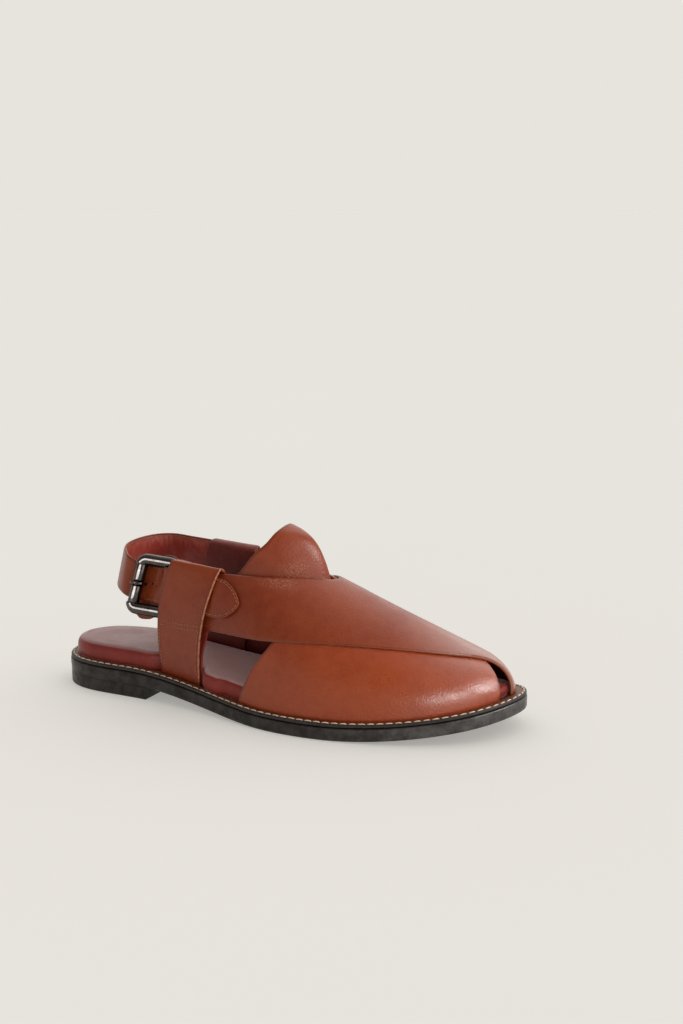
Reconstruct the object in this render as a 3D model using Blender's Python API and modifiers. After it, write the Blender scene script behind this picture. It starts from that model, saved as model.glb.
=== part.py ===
"""Peshawari chappal, right shoe: a sandal with two crossed leather bands, a peaked tongue, a closed heel
strap with a roller buckle, a cushioned footbed, a welt and a low heel.

Lengths below are millimetres, measured on the last: x runs from the back of the heel to the toe, y is
positive on the medial (inner) side, z is the height above the floor. An empty carries the finished pieces,
so that the middle of the outsole stands on the scene's origin. Blender's units are metres.

A band is cut from a flat pattern, as leather is. The pattern is a half disc: its rim is the feather line,
where the upper meets the welt, its front is the toe tip and its middle lies on the instep. wrap() lays a
point of the pattern on the last.
"""
import math

import bpy
import numpy as np

MM = 0.001
LENGTH = 300.0           # outsole, heel back to toe tip
GAP = 0.3                # left between touching pieces

# Sole
OUTSOLE_THICK = 7.9
WELT_THICK = 2.0
HEEL_TOP = 18.5          # top of the welt over the heel
HEEL_LENGTH = 70.0
ARCH_FROM, ARCH_RUN = 55.0, 110.0   # where the sole comes down from the heel to the ball
SPRING_FROM, SPRING = 200.0, 12.0   # toe spring
FOOTBED_HEEL, FOOTBED_TOE = 10.5, 6.5   # footbed thickness
FOOTBED_INSET = 8.6      # inside the outline
FOOTBED_TUCK, FOOTBED_TOE_TUCK = 2.6, 3.6   # how much more beside the keepers and at the toe

# Leather
BAND_THICK = 2.2
OVER_LIFT = 1.4          # the over-band stands this far proud of the under-band
TONGUE_THICK = 1.6
STRAP_THICK = 2.4
KEEPER_THICK = 1.4
GUARD_THICK = 1.2
SEAM = 0.5               # the upper and the keepers end this far over the welt

# A keeper folds over the strap and the band's end. Faces are distances off the last.
KEEPER_REAR, KEEPER_FRONT = 79.5, 107.5   # at the welt
KEEPER_REAR_LEAN, KEEPER_FRONT_LEAN = 9.0, 13.0   # how far the top leans forward
KEEPER_OUT = 5.2         # outer face of the outer ply
KEEPER_IN = -4.0         # the inner ply's face on the foot's side, where a band's end lies in the fold
KEEPER_DEEP = -10.2      # the same, where the buckle's bar lies in it
LATERAL_TOP, MEDIAL_TOP = (88.8, 85.8), (94.0, 92.3)   # height at the rear and at the front

# The buckle's own axes: the roller's middle, along the arms towards the toe, and up along the roller.
BUCKLE_AT = (62.6, -28.0, 71.6)
BUCKLE_ALONG = (0.996, 0.053, -0.07)
BUCKLE_UP = (0.135, 0.275, 0.95)
BUCKLE_LENGTH = 26.0     # from the roller's bar to the hinge bar
ARM_SPAN = 30.6          # between the middles of the two arms
ARM_RADIUS, BAR_RADIUS, ROLLER_RADIUS = 2.4, 1.2, 2.8
BUCKLE_CORNER, CORNER_BACK = 2.5, 1.1   # radius, and how far the arms reach behind the roller's bar
ROLLER_HALF = 11.8
PRONG_RADIUS = 0.8

# Outline of the outsole: one closed curve from the heel's back along the lateral side to the toe and home.
OUTLINE = (
    (0, 0), (4, -15), (14, -25.5), (31, -31.5), (60, -34), (90, -38.5), (120, -46), (150, -55), (180, -60),
    (210, -58.5), (240, -51.5), (265, -41), (283, -28), (295, -11), (300, 7),
    (297, 20), (288, 32), (272, 42), (250, 47.5), (225, 48), (195, 44), (160, 36), (125, 30.5), (90, 31),
    (60, 32.5), (31, 31), (14, 25), (4, 14.5),
)

# Sections of the last.
# x: place; crown: height of the instep line over the feather line; mid: y of the instep line; full: how
# square the section is (1 is an ellipse, less is fuller)
LAST = {
    "x": (55, 70, 110, 140, 170, 200, 230, 260, 300),
    "crown": (114, 114, 100, 87, 73.7, 60.5, 46, 30, 9.5),
    "mid": (-1, -1, -1, 0, 1, 2, 3, 5, 7),
    "full": (1.0, 1.0, 1.0, 0.95, 0.9, 0.85, 0.8, 0.75, 0.75),
}
TOE_FROM, TOE_ROUND = 269.0, 2.4     # the crown rounds down to the toe tip from here
FEATHER_SIDE, FEATHER_TOE = 4.6, 6.8  # welt showing outside the upper
BACK = 70.0                          # the pattern's straight edge lies here

# Edges in the pattern, from the welt to the keeper. forward: 0 at BACK, 1 at the toe tip;
# across: -1 lateral rim, 1 medial rim.
OVER_FRONT = {
    "forward": (0.999, 0.905, 0.84, 0.784, 0.70, 0.56, 0.387, 0.282, 0.164, 0.105),
    "across": (-0.044, -0.003, 0.019, 0.012, -0.07, -0.304, -0.556, -0.667, -0.75, -0.785),
}
OVER_REAR = {
    "forward": (0.232, 0.262, 0.29, 0.318, 0.335, 0.336, 0.305, 0.264, 0.217, 0.163, 0.105),
    "across": (0.9727, 0.83, 0.68, 0.45, 0.18, -0.03, -0.16, -0.281, -0.384, -0.474, -0.59),
}
UNDER_FRONT = {
    "forward": (0.981, 0.888, 0.812, 0.765, 0.70, 0.56, 0.387, 0.282, 0.164, 0.105),
    "across": (-0.194, -0.146, -0.075, -0.02, 0.07, 0.304, 0.556, 0.667, 0.75, 0.785),
}

UNDER_REAR = {
    "forward": (0.319, 0.318, 0.328, 0.336, 0.34, 0.336, 0.305, 0.264, 0.217, 0.163, 0.105),
    "across": (-0.9478, -0.80, -0.68, -0.45, -0.18, 0.03, 0.16, 0.281, 0.384, 0.474, 0.59),
}

# The tongue's upper edge: angle from the instep line against x.
TONGUE_EDGE = {
    "angle": (0, 6, 14, 24, 34, 44, 56),
    "x": (154, 152.8, 151, 147.5, 140, 131, 121.5),
}
TONGUE_FRONT = 214.0
TONGUE_GAP = 0.7                              # under the bands
TONGUE_RISE = 21.5                            # its peak over the last
TONGUE_CLEAR, TONGUE_RISE_RUN = 0.003, 0.075  # where the rise starts behind the bands, and its run

# The heel strap's outer face, from the medial keeper round the heel to the tail.
# z: its middle; out: off the last, where it lies beside the foot; lean: of its top towards the foot.
STRAP_MEDIAL = {
    "x": (108, 95, 82, 70),
    "z": (77.7, 78.2, 78.7, 79.2),
    "width": (24.2, 24.5, 24.8, 25.2),
    "out": (3.2, 3.2, 3.2, 3.0),
}
STRAP_HEEL = {
    "x": (58, 48.5, 41.5, 38, 39.8, 46.5, 54.5),
    "y": (29.2, 25.5, 17.5, 4, -10, -20.3, -26.2),
    "z": (79.4, 79.4, 79.1, 78.7, 78.1, 76.9, 74.8),
    "width": (25.4, 25.4, 25, 24.4, 23.7, 23, 22.6),
    "lean": (8, 9, 10, 11, 12, 12, 12),
}
# Under the roller and in the buckle's window, in the buckle's own axes.
STRAP_WINDOW = {
    "along": (-1.5, 1.5, 4.5, 8, 11.5, 15),
    "up": (1.3, 1.2, 1.1, 1.1, 1.2, 1.4),
    "out": (-3.4, -3.35, -3.1, -1.9, 0.0, 1.9),
    "width": (22.4, 22.3, 22.2, 22.2, 22.2, 22.2),
}
STRAP_LATERAL = {
    "x": (83, 90, 100, 112, 118),
    "z": (71.7, 71.2, 70.5, 69.9, 69.8),
    "width": (22.2, 22, 22, 22, 22),
    "out": (2.8, 3.4, 3.2, 3.2, 3.2),
}
TAIL_TIP = {"x": 138.0, "z": 70.0, "out": 3.5}
HOLES = ((4.2, 0.0, 1.6), (9.2, 1.0, 0.9))   # along, up, radius: the one in use and a free one

# The flap between the buckle and the foot, in the buckle's own axes.
GUARD = {
    "along": (-3.5, -2, 0.5, 4, 8, 12, 14, 16, 18, 20.5, 22.5, 24.5, 27),
    "low": (-8, -16.5, -21.5, -23.4, -22.5, -20.2, -18.5, -15, -11.6, -11.2, -11, -11, -11),
    "high": (3, 9, 13.5, 16.5, 18.6, 19.6, 19.8, 19.6, 19.2, 18, 14.5, 9.5, 8),
}
GUARD_OUT = {"along": (-7, 4, 8, 11, 15, 20, 26, 27), "out": (-8.4, -8.4, -8.1, -7.0, -5.4, -4.2, -3.5, -3.5)}


def smooth_step(t):
    t = np.clip(t, 0, 1)
    return t * t * (3 - 2 * t)


def through(x, xs, ys):
    """A curve through the points that doesn't overshoot (monotone cubic)."""
    xs, ys = np.asarray(xs, float), np.asarray(ys, float)
    step, rise = np.diff(xs), np.diff(ys)
    slope = rise / step
    inner = np.zeros(len(xs))
    same = slope[1:] * slope[:-1] > 0
    with np.errstate(divide="ignore", invalid="ignore"):
        mean = 2 * slope[1:] * slope[:-1] / (slope[1:] + slope[:-1])
    inner[1:-1] = np.where(same, mean, 0)
    inner[0], inner[-1] = slope[0], slope[-1]
    x = np.clip(x, xs[0], xs[-1])
    i = np.clip(np.searchsorted(xs, x, side="right") - 1, 0, len(step) - 1)
    t, h = (x - xs[i]) / step[i], step[i]
    return (
        ys[i] * (1 + 2 * t) * (1 - t) ** 2 + h * inner[i] * t * (1 - t) ** 2
        + ys[i + 1] * t * t * (3 - 2 * t) + h * inner[i + 1] * t * t * (t - 1)
    )


def smooth_path(points, count, closed=False):
    """count points evenly along a cubic spline through the given ones."""
    points = np.array(points, float)
    if closed:
        points = np.vstack([points[-3:], points, points[:4]])
    gap = np.sqrt(np.linalg.norm(np.diff(points, axis=0), axis=1))
    n = len(points)
    matrix, right = np.eye(n), np.zeros_like(points)
    for i in range(1, n - 1):
        matrix[i, i - 1:i + 2] = gap[i - 1], 2 * (gap[i - 1] + gap[i]), gap[i]
        right[i] = 6 * ((points[i + 1] - points[i]) / gap[i] - (points[i] - points[i - 1]) / gap[i - 1])
    bend = np.linalg.solve(matrix, right)
    t = np.linspace(0, 1, 24, endpoint=False)[:, None]
    spans = range(3, n - 4) if closed else range(n - 1)
    fine = np.vstack([
        (1 - t) * points[i] + t * points[i + 1] + gap[i] ** 2 / 6
        * (((1 - t) ** 3 - (1 - t)) * bend[i] + (t ** 3 - t) * bend[i + 1]) for i in spans
    ])
    fine = np.vstack([fine, fine[:1] if closed else points[-1:]])
    run = np.concatenate([[0], np.cumsum(np.linalg.norm(np.diff(fine, axis=0), axis=1))])
    at = np.linspace(0, run[-1], count, endpoint=not closed)
    return np.column_stack([np.interp(at, run, fine[:, k]) for k in range(fine.shape[1])])


OUTLINE_FINE = smooth_path(OUTLINE, 1200, closed=True)


def outline_inset(inset):
    """The outline moved inwards; inset is a length or one for each point."""
    along = np.roll(OUTLINE_FINE, -1, 0) - np.roll(OUTLINE_FINE, 1, 0)
    along /= np.linalg.norm(along, axis=1)[:, None]
    inward = np.column_stack([-along[:, 1], along[:, 0]])
    return OUTLINE_FINE + inward * np.reshape(inset, (-1, 1))


def two_sides(loop):
    """The lateral and the medial side of a closed outline, each from heel to toe."""
    loop = np.roll(loop, -loop[:, 0].argmin(), 0)
    toe = loop[:, 0].argmax()
    return loop[:toe + 1], np.vstack([loop[toe:], loop[:1]])[::-1]


FEATHER_INSET = FEATHER_SIDE + (FEATHER_TOE - FEATHER_SIDE) * smooth_step((OUTLINE_FINE[:, 0] - 255) / 40)
FEATHER_LATERAL, FEATHER_MEDIAL = two_sides(outline_inset(FEATHER_INSET))
TIP_X, TIP_Y = FEATHER_LATERAL[-1]


def welt_top(x):
    ball = OUTSOLE_THICK + WELT_THICK + GAP
    drop = smooth_step((x - ARCH_FROM) / ARCH_RUN)
    spring = SPRING * np.clip((x - SPRING_FROM) / (LENGTH - SPRING_FROM), 0, None) ** 1.8
    return HEEL_TOP + (ball - HEEL_TOP) * drop + spring


def crown(x):
    rounding = np.clip((x - TOE_FROM) / (TIP_X - TOE_FROM), 0, 1)
    return through(x, LAST["x"], LAST["crown"]) * (1 - rounding ** TOE_ROUND) ** (1 / TOE_ROUND)


def on_last(x, angle):
    """A point of the last: angle is -90 degrees at the lateral feather line, 0 on the instep, 90 medial."""
    x, angle = np.broadcast_arrays(np.asarray(x, float), np.asarray(angle, float))
    middle = through(x, LAST["x"], LAST["mid"])
    middle = middle + (TIP_Y - middle) * np.clip((x - TOE_FROM) / (TIP_X - TOE_FROM), 0, 1) ** 2
    lateral = middle - np.interp(x, *FEATHER_LATERAL.T)
    medial = np.interp(x, *FEATHER_MEDIAL.T) - middle
    side = np.where(angle < 0, lateral, medial)
    height = crown(x) * np.clip(np.cos(angle), 0, 1) ** through(x, LAST["x"], LAST["full"])
    return np.stack([x, middle + side * np.sin(angle), welt_top(x) + SEAM + height], -1)


def off_last(x, angle, out, shape=on_last):
    """A point at the distance out from the last's surface, negative inside it."""
    x, angle = np.broadcast_arrays(np.asarray(x, float), np.asarray(angle, float))
    dx, da = 0.2, 0.01
    here = shape(x, angle)
    along = shape(np.minimum(x + dx, TIP_X), angle) - shape(np.minimum(x, TIP_X - dx) - dx, angle)
    round_it = shape(x, angle + da) - shape(x, angle - da)
    normal = np.cross(along, round_it)
    length = np.linalg.norm(normal, axis=-1, keepdims=True)
    normal = np.where(length > 1e-9, normal / np.maximum(length, 1e-9), (1.0, 0.0, 0.0))
    return here + normal * np.asarray(out, float)[..., None]


def angle_at_height(x, z, side):
    """The angle at which the last's side (-1 lateral, 1 medial) reaches a height."""
    full = through(x, LAST["x"], LAST["full"])
    share = np.clip((z - welt_top(x) - SEAM) / crown(x), 0, 1)
    return side * np.arccos(share ** (1 / full))


def wrap(forward, across):
    """From the flat pattern to x and angle on the last, by way of a quarter sphere."""
    radius = np.clip(np.hypot(forward, across), 1e-9, 1)
    tilt = radius * math.pi / 2
    ahead = np.sin(tilt) * forward / radius
    sideways = np.sin(tilt) * across / radius
    return BACK + (TIP_X - BACK) * np.clip(ahead, 0, 1), np.arctan2(sideways, np.cos(tilt))


def coons(front, rear, start, end):
    """A grid between four edges that share their corners. front and rear run from start to end."""
    p = np.linspace(0, 1, len(front))[:, None, None]
    q = np.linspace(0, 1, len(start))[None, :, None]
    ruled = (1 - q) * front[:, None] + q * rear[:, None] + (1 - p) * start[None] + p * end[None]
    corners = (
        (1 - p) * (1 - q) * front[0] + (1 - p) * q * rear[0] + p * (1 - q) * front[-1] + p * q * rear[-1]
    )
    return ruled - corners


def band_pattern(front, rear, rows, columns):
    """The flat grid of a band: rows from the welt to the keeper, columns from front edge to rear edge."""
    front_line = smooth_path(np.column_stack([front["forward"], front["across"]]), rows)
    rear_line = smooth_path(np.column_stack([rear["forward"], rear["across"]]), rows)
    turn = [math.atan2(line[0, 1], line[0, 0]) for line in (front_line, rear_line)]
    rim = np.linspace(*turn, columns)
    start = np.column_stack([np.cos(rim), np.sin(rim)])
    front_line[0], rear_line[0] = start[0], start[-1]
    end = np.linspace(front_line[-1], rear_line[-1], columns)
    return coons(front_line, rear_line, start, end)


# Blender objects


def clear_scene():
    for obj in list(bpy.data.objects):
        bpy.data.objects.remove(obj, do_unlink=True)
    for collection in list(bpy.data.collections):
        bpy.data.collections.remove(collection)


def new_collection(name):
    collection = bpy.data.collections.new(name)
    bpy.context.scene.collection.children.link(collection)
    return collection


def material(name, colour, roughness, metallic=0.0):
    made = bpy.data.materials.new(name)
    made.use_nodes = True
    shader = made.node_tree.nodes["Principled BSDF"]
    shader.inputs["Base Color"].default_value = (*colour, 1)
    shader.inputs["Roughness"].default_value = roughness
    shader.inputs["Metallic"].default_value = metallic
    return made


def add_object(name, data, paint, collection, parent, smooth=35):
    if isinstance(data, bpy.types.Mesh):
        data.shade_smooth()
        data.set_sharp_from_angle(angle=math.radians(smooth))
    data.materials.append(paint)
    obj = bpy.data.objects.new(name, data)
    obj.parent = parent
    collection.objects.link(obj)
    return obj


def mesh_from(vertices, faces):
    mesh = bpy.data.meshes.new("shape")
    mesh.from_pydata([tuple(v * MM) for v in np.asarray(vertices, float)], [], faces)
    mesh.validate()
    return mesh


def grid_faces(rows, columns, wrap_rows=False):
    """Quads over a grid whose rows and columns turn anticlockwise seen from outside."""
    last = rows if wrap_rows else rows - 1
    return [
        (i * columns + j, (i + 1) % rows * columns + j, (i + 1) % rows * columns + j + 1, i * columns + j + 1)
        for i in range(last) for j in range(columns - 1)
    ]


def sheet_mesh(grid, flip=False):
    rows, columns = grid.shape[:2]
    faces = grid_faces(rows, columns)
    if flip:
        faces = [face[::-1] for face in faces]
    return mesh_from(grid.reshape(-1, 3), faces)


def solidify(obj, thickness):
    """Gives an open sheet its wall, on the inner side."""
    wall = obj.modifiers.new("wall", "SOLIDIFY")
    wall.thickness = thickness * MM
    wall.offset = -1
    wall.use_even_offset = True


def loft_mesh(loops, ring=False):
    """A solid through closed loops of equal count, bottom first; each goes heel, lateral, toe, medial.

    The first and the last loop are capped by cross strips, or joined to each other when ring is set."""
    count = len(loops[0])
    vertices = np.vstack(loops)
    faces = []
    for level in range(len(loops) if ring else len(loops) - 1):
        low, high = level * count, (level + 1) % len(loops) * count
        for i in range(count):
            j = (i + 1) % count
            faces.append((low + i, low + j, high + j, high + i))
    if not ring:
        half = count // 2
        top = (len(loops) - 1) * count
        for i in range(half):
            left, right = (i, i + 1), ((count - i) % count, count - i - 1)
            strip = [left[0], left[1], right[1], right[0]]
            strip = [v for k, v in enumerate(strip) if v not in strip[:k]]
            faces.append(tuple(top + v for v in strip))
            faces.append(tuple(reversed(strip)))
    return mesh_from(vertices, faces)


def sole_loop(inset, height, steps=40, start=None, end=None):
    """A closed loop on the outline moved in by inset: height is a function of x."""
    lateral, medial = two_sides(outline_inset(inset))
    first, last = lateral[0, 0], lateral[-1, 0]
    x = first + (last - first) * (1 - np.cos(np.linspace(0, math.pi, steps + 1))) / 2
    if end is not None:
        x = np.append(x[x < end - 1], end)
    if start is not None:
        x = np.insert(x[x > start + 1], 0, start)
    left = np.column_stack([x, np.interp(x, *lateral.T), height(x)])
    right = np.column_stack([x, np.interp(x, *medial.T), height(x)])[::-1]
    if end is None:
        right = right[1:]
    return np.vstack([left, right[:-1]])


# The pieces


def build_outsole(collection, parent, paint):
    top = sole_loop(0, lambda x: welt_top(x) - WELT_THICK - GAP)
    edge = sole_loop(0, lambda x: welt_top(x) - WELT_THICK - GAP - OUTSOLE_THICK + 1.0)
    bottom = sole_loop(1.0, lambda x: welt_top(x) - WELT_THICK - GAP - OUTSOLE_THICK)
    return add_object("outsole", loft_mesh([bottom, edge, top]), paint, collection, parent)


def build_heel(collection, parent, paint):
    def under_sole(x):
        return welt_top(x) - WELT_THICK - OUTSOLE_THICK - 2 * GAP
    top = sole_loop(0.4, under_sole, end=HEEL_LENGTH)
    edge = sole_loop(0.4, lambda x: 1.0 + 0 * x, end=HEEL_LENGTH)
    bottom = sole_loop(1.2, lambda x: 0 * x, end=HEEL_LENGTH)
    return add_object("heel", loft_mesh([bottom, edge, top]), paint, collection, parent)


def build_welt(collection, parent, paint):
    loops = [
        sole_loop(13.0, lambda x: welt_top(x) - WELT_THICK),
        sole_loop(0.4, lambda x: welt_top(x) - WELT_THICK),
        sole_loop(0.4, welt_top),
        sole_loop(13.0, welt_top),
    ]
    return add_object("welt", loft_mesh(loops, ring=True), paint, collection, parent)


def footbed_thickness(x):
    return FOOTBED_HEEL + (FOOTBED_TOE - FOOTBED_HEEL) * smooth_step((x - 150) / 60)


def build_footbed(collection, parent, paint):
    """The cushion: its side bulges a little and its rim is round."""
    profile = ((1.2, 0.0), (0.2, 0.18), (0.0, 0.45), (0.6, 0.76), (2.4, 0.94), (7.0, 1.0))
    along = OUTLINE_FINE[:, 0]
    base = (
        FOOTBED_INSET - 2.0 * smooth_step((30 - along) / 30)
        + FOOTBED_TUCK * smooth_step((along - 68) / 12) * smooth_step((124 - along) / 14)
        + FOOTBED_TOE_TUCK * smooth_step((along - 235) / 50)
    )
    loops = []
    for inset, share in profile:
        loops.append(sole_loop(
            base + inset, lambda x, share=share: welt_top(x) + GAP + share * footbed_thickness(x), steps=34
        ))
    return add_object("footbed", loft_mesh(loops), paint, collection, parent, smooth=60)


def over_lift(forward, across):
    """How far the over-band stands off the last: proud over the under-band, down on it elsewhere."""
    radius = np.hypot(forward, across)
    medial = smooth_step((across + 0.12) / 0.1) * smooth_step((radius - 0.76) / 0.2)
    rear = smooth_step((0.33 - forward) / 0.2) * smooth_step((-across - 0.1) / 0.2)
    return OVER_LIFT * (1 - medial) * (1 - rear)


def build_upper(collection, cutters, parent, paint):
    """The under-band and the over-band, joined where they cross."""
    over = band_pattern(OVER_FRONT, OVER_REAR, 40, 15)
    forward, across = over[..., 0], over[..., 1]
    over_grid = off_last(*wrap(forward, across), over_lift(forward, across))
    under = band_pattern(UNDER_FRONT, UNDER_REAR, 40, 15)
    forward, across = under[..., 0], under[..., 1]
    under_grid = off_last(*wrap(forward, across), 0 * forward)
    upper = add_object("upper", sheet_mesh(under_grid), paint, collection, parent, smooth=50)
    solidify(upper, BAND_THICK)
    band = add_object("over_band", sheet_mesh(over_grid, flip=True), paint, cutters, parent)
    solidify(band, BAND_THICK)
    band.hide_render = True
    band.display_type = "WIRE"
    join = upper.modifiers.new("crossing", "BOOLEAN")
    join.operation = "UNION"
    join.object = band
    return upper


def flat_from(x, angle):
    """The inverse of wrap()."""
    ahead = np.clip((x - BACK) / (TIP_X - BACK), 0, 1)
    ring = np.sqrt(1 - ahead ** 2)
    sideways = ring * np.sin(angle)
    radius = np.arccos(np.clip(ring * np.cos(angle), 0, 1)) * 2 / math.pi
    scale = radius / np.maximum(np.hypot(ahead, sideways), 1e-9)
    return ahead * scale, sideways * scale


def behind_bands(x, angle):
    """How far, in the pattern, a point lies behind the bands' upper edges."""
    line = smooth_path(np.column_stack([UNDER_REAR["forward"], UNDER_REAR["across"]]), 90)
    forward, across = flat_from(x, angle)
    return np.interp(np.abs(across), line[:, 1], line[:, 0]) - TONGUE_CLEAR - forward


def on_tongue(x, angle):
    """The last, with the tongue rising off it behind the bands' upper edges."""
    point = np.array(on_last(x, angle))
    share = np.clip(behind_bands(x, angle) / TONGUE_RISE_RUN, 0, 1)
    point[..., 2] += TONGUE_RISE * (1 - (1 - share) ** 2.3)
    return point


def build_tongue(collection, parent, paint):
    widest = math.radians(TONGUE_EDGE["angle"][-1])
    angle = np.linspace(-widest, widest, 23)
    edge = through(np.degrees(angle) ** 2, np.square(TONGUE_EDGE["angle"]), TONGUE_EDGE["x"])
    fine = np.linspace(TONGUE_FRONT, edge.min(), 400)
    emerges = fine[np.argmax(behind_bands(fine[:, None], angle) > 0, axis=0)]
    emerges = np.maximum(emerges, edge + 1.0)
    rear = edge + (emerges - edge) * np.linspace(0, 1, 9)[:, None]
    front = emerges + (TONGUE_FRONT - emerges) * np.linspace(0, 1, 10)[1:, None]
    x = np.vstack([rear, front])
    grid = off_last(x, angle + 0 * x, -BAND_THICK - TONGUE_GAP + 0 * x, on_tongue)
    tongue = add_object("tongue", sheet_mesh(grid), paint, collection, parent, smooth=50)
    solidify(tongue, TONGUE_THICK)
    return tongue


def build_keeper(name, side, tops, collection, parent, paint):
    """A strap folded double: up from the welt outside, over the top and down again on the foot's side."""
    rise = np.array([0.0, 10.0, 21.0, 30.0, 34.0, 38.5, 47.0, 55.0, 61.0, 64.0]) / 64.0
    outer = np.array([-2.4, -1.2, 0.4, 3.1, 4.8, 5.1, KEEPER_OUT, KEEPER_OUT, KEEPER_OUT, KEEPER_OUT - 0.5])
    low = np.array([-5.5, -4.3, -2.9, KEEPER_IN])       # the inner ply, below the fold's opening
    depth = np.array([0.55, 1.0, 1.0, 1.0, 1.0, 0.95])  # and beside it, as a share
    columns = []
    for share in np.linspace(0, 1, 7):
        foot = KEEPER_REAR + (KEEPER_FRONT - KEEPER_REAR) * share
        top = tops[0] + (tops[1] - tops[0]) * share
        base = welt_top(foot) + SEAM
        lean = KEEPER_REAR_LEAN + (KEEPER_FRONT_LEAN - KEEPER_REAR_LEAN) * share
        x = foot + lean * rise ** (3.0 - 1.6 * share)
        z = base + rise * (top - 1.2 - base)
        inside = np.full(len(rise), KEEPER_IN)
        if side < 0:
            inside += (KEEPER_DEEP - KEEPER_IN) * smooth_step((103.0 - x) / 10.0)
        inner = np.concatenate([low, KEEPER_IN + (inside[4:] - KEEPER_IN) * depth])
        outside, foot_side = beside(x, z, side, outer), beside(x, z, side, inner)
        fold = (outside[-1] + foot_side[-1]) / 2
        fold[2] = top
        columns.append(np.vstack([outside, fold, foot_side[::-1]]))
    keeper = add_object(
        name, sheet_mesh(np.array(columns), flip=side > 0), paint, collection, parent, smooth=50
    )
    solidify(keeper, KEEPER_THICK)
    return keeper


def beside(x, z, side, out):
    """A point at a height beside the foot, at a distance off the last."""
    x = np.asarray(x, float)
    return off_last(x, angle_at_height(x, np.asarray(z, float), side), np.asarray(out, float))


def in_buckle(along, up, out):
    """A point in the buckle's own axes."""
    first, second = np.array(BUCKLE_ALONG), np.array(BUCKLE_UP)
    third = np.cross(first, second)
    third /= np.linalg.norm(third)
    place = np.array([along, up, out], float).T
    return np.array(BUCKLE_AT) + place @ np.array([first, second, third])


def strap_edge(sign):
    """The strap's upper (1) or lower (-1) edge, from the medial keeper round the heel to the tail."""
    def half(table):
        return sign * np.array(table["width"], float) / 2

    def on_side(table, side):
        return beside(table["x"], table["z"] + half(table), side, table["out"])

    middle = np.column_stack([STRAP_HEEL["x"], STRAP_HEEL["y"]]).astype(float)
    away = middle - (62.0, 2.0)
    away /= np.linalg.norm(away, axis=1)[:, None]
    inward = np.tan(np.radians(STRAP_HEEL["lean"])) * half(STRAP_HEEL)
    heel = np.column_stack([middle - away * inward[:, None], STRAP_HEEL["z"] + half(STRAP_HEEL)])
    window = in_buckle(
        STRAP_WINDOW["along"], STRAP_WINDOW["up"] + half(STRAP_WINDOW), STRAP_WINDOW["out"]
    )
    return np.vstack([on_side(STRAP_MEDIAL, 1), heel, window, on_side(STRAP_LATERAL, -1)])


def build_heel_strap(collection, cutters, parent, paint):
    edges = [smooth_path(strap_edge(sign), 54) for sign in (-1, 1)]
    across = np.linspace(0, 1, 4)
    rows = [[low + (high - low) * t for t in across] for low, high in zip(*edges)]
    start = {key: STRAP_LATERAL[key][-1] for key in ("x", "z", "width", "out")}
    for share in (0.2, 0.4, 0.58, 0.74, 0.87, 0.96, 1.0):
        x, z, out = (start[key] + (TAIL_TIP[key] - start[key]) * share for key in ("x", "z", "out"))
        reach = max(start["width"] / 2 * (1 - share ** 2.4) ** 0.75, 0.6)
        rows.append([beside(x, z + (2 * t - 1) * reach, -1, out) for t in across])
    strap = add_object("heel_strap", sheet_mesh(np.array(rows)), paint, collection, parent, smooth=50)
    solidify(strap, STRAP_THICK)
    for along, up, radius in HOLES:
        punch(strap, in_buckle(along, up, -9), in_buckle(along, up, 4), radius, cutters, parent)
    return strap


def frame_of(inner, outer):
    """Unit vectors with the third one from inner to outer."""
    third = (outer - inner) / np.linalg.norm(outer - inner)
    first = np.cross((0, 0, 1.0), third)
    first /= np.linalg.norm(first)
    return first, np.cross(third, first), third


def tube_loops(inner, outer, radius, sides):
    first, second, _ = frame_of(inner, outer)
    turn = np.linspace(0, 2 * math.pi, sides, endpoint=False)[:, None]
    ring = (np.cos(turn) * first + np.sin(turn) * second) * radius
    return inner + ring, outer + ring


def punch(target, inner, outer, radius, cutters, parent, sides=16):
    low, high = tube_loops(inner, outer, radius, sides)
    faces = [(i, (i + 1) % sides, sides + (i + 1) % sides, sides + i) for i in range(sides)]
    faces += [tuple(reversed(range(sides))), tuple(range(sides, 2 * sides))]
    cutter = bpy.data.objects.new(target.name + "_hole", mesh_from(np.vstack([low, high]), faces))
    cutter.parent = parent
    cutter.hide_render = True
    cutter.display_type = "WIRE"
    cutters.objects.link(cutter)
    hole = target.modifiers.new("hole", "BOOLEAN")
    hole.operation = "DIFFERENCE"
    hole.object = cutter


def wire_object(name, points, radii, closed, collection, parent, paint, resolution=3):
    curve = bpy.data.curves.new(name, "CURVE")
    curve.dimensions = "3D"
    curve.bevel_depth = MM
    curve.bevel_resolution = resolution
    curve.use_fill_caps = True
    spline = curve.splines.new("POLY")
    spline.points.add(len(points) - 1)
    for point, place, radius in zip(spline.points, points, radii):
        point.co = (*(np.array(place) * MM), 1)
        point.radius = radius
    spline.use_cyclic_u = closed
    return add_object(name, curve, paint, collection, parent)


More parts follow.
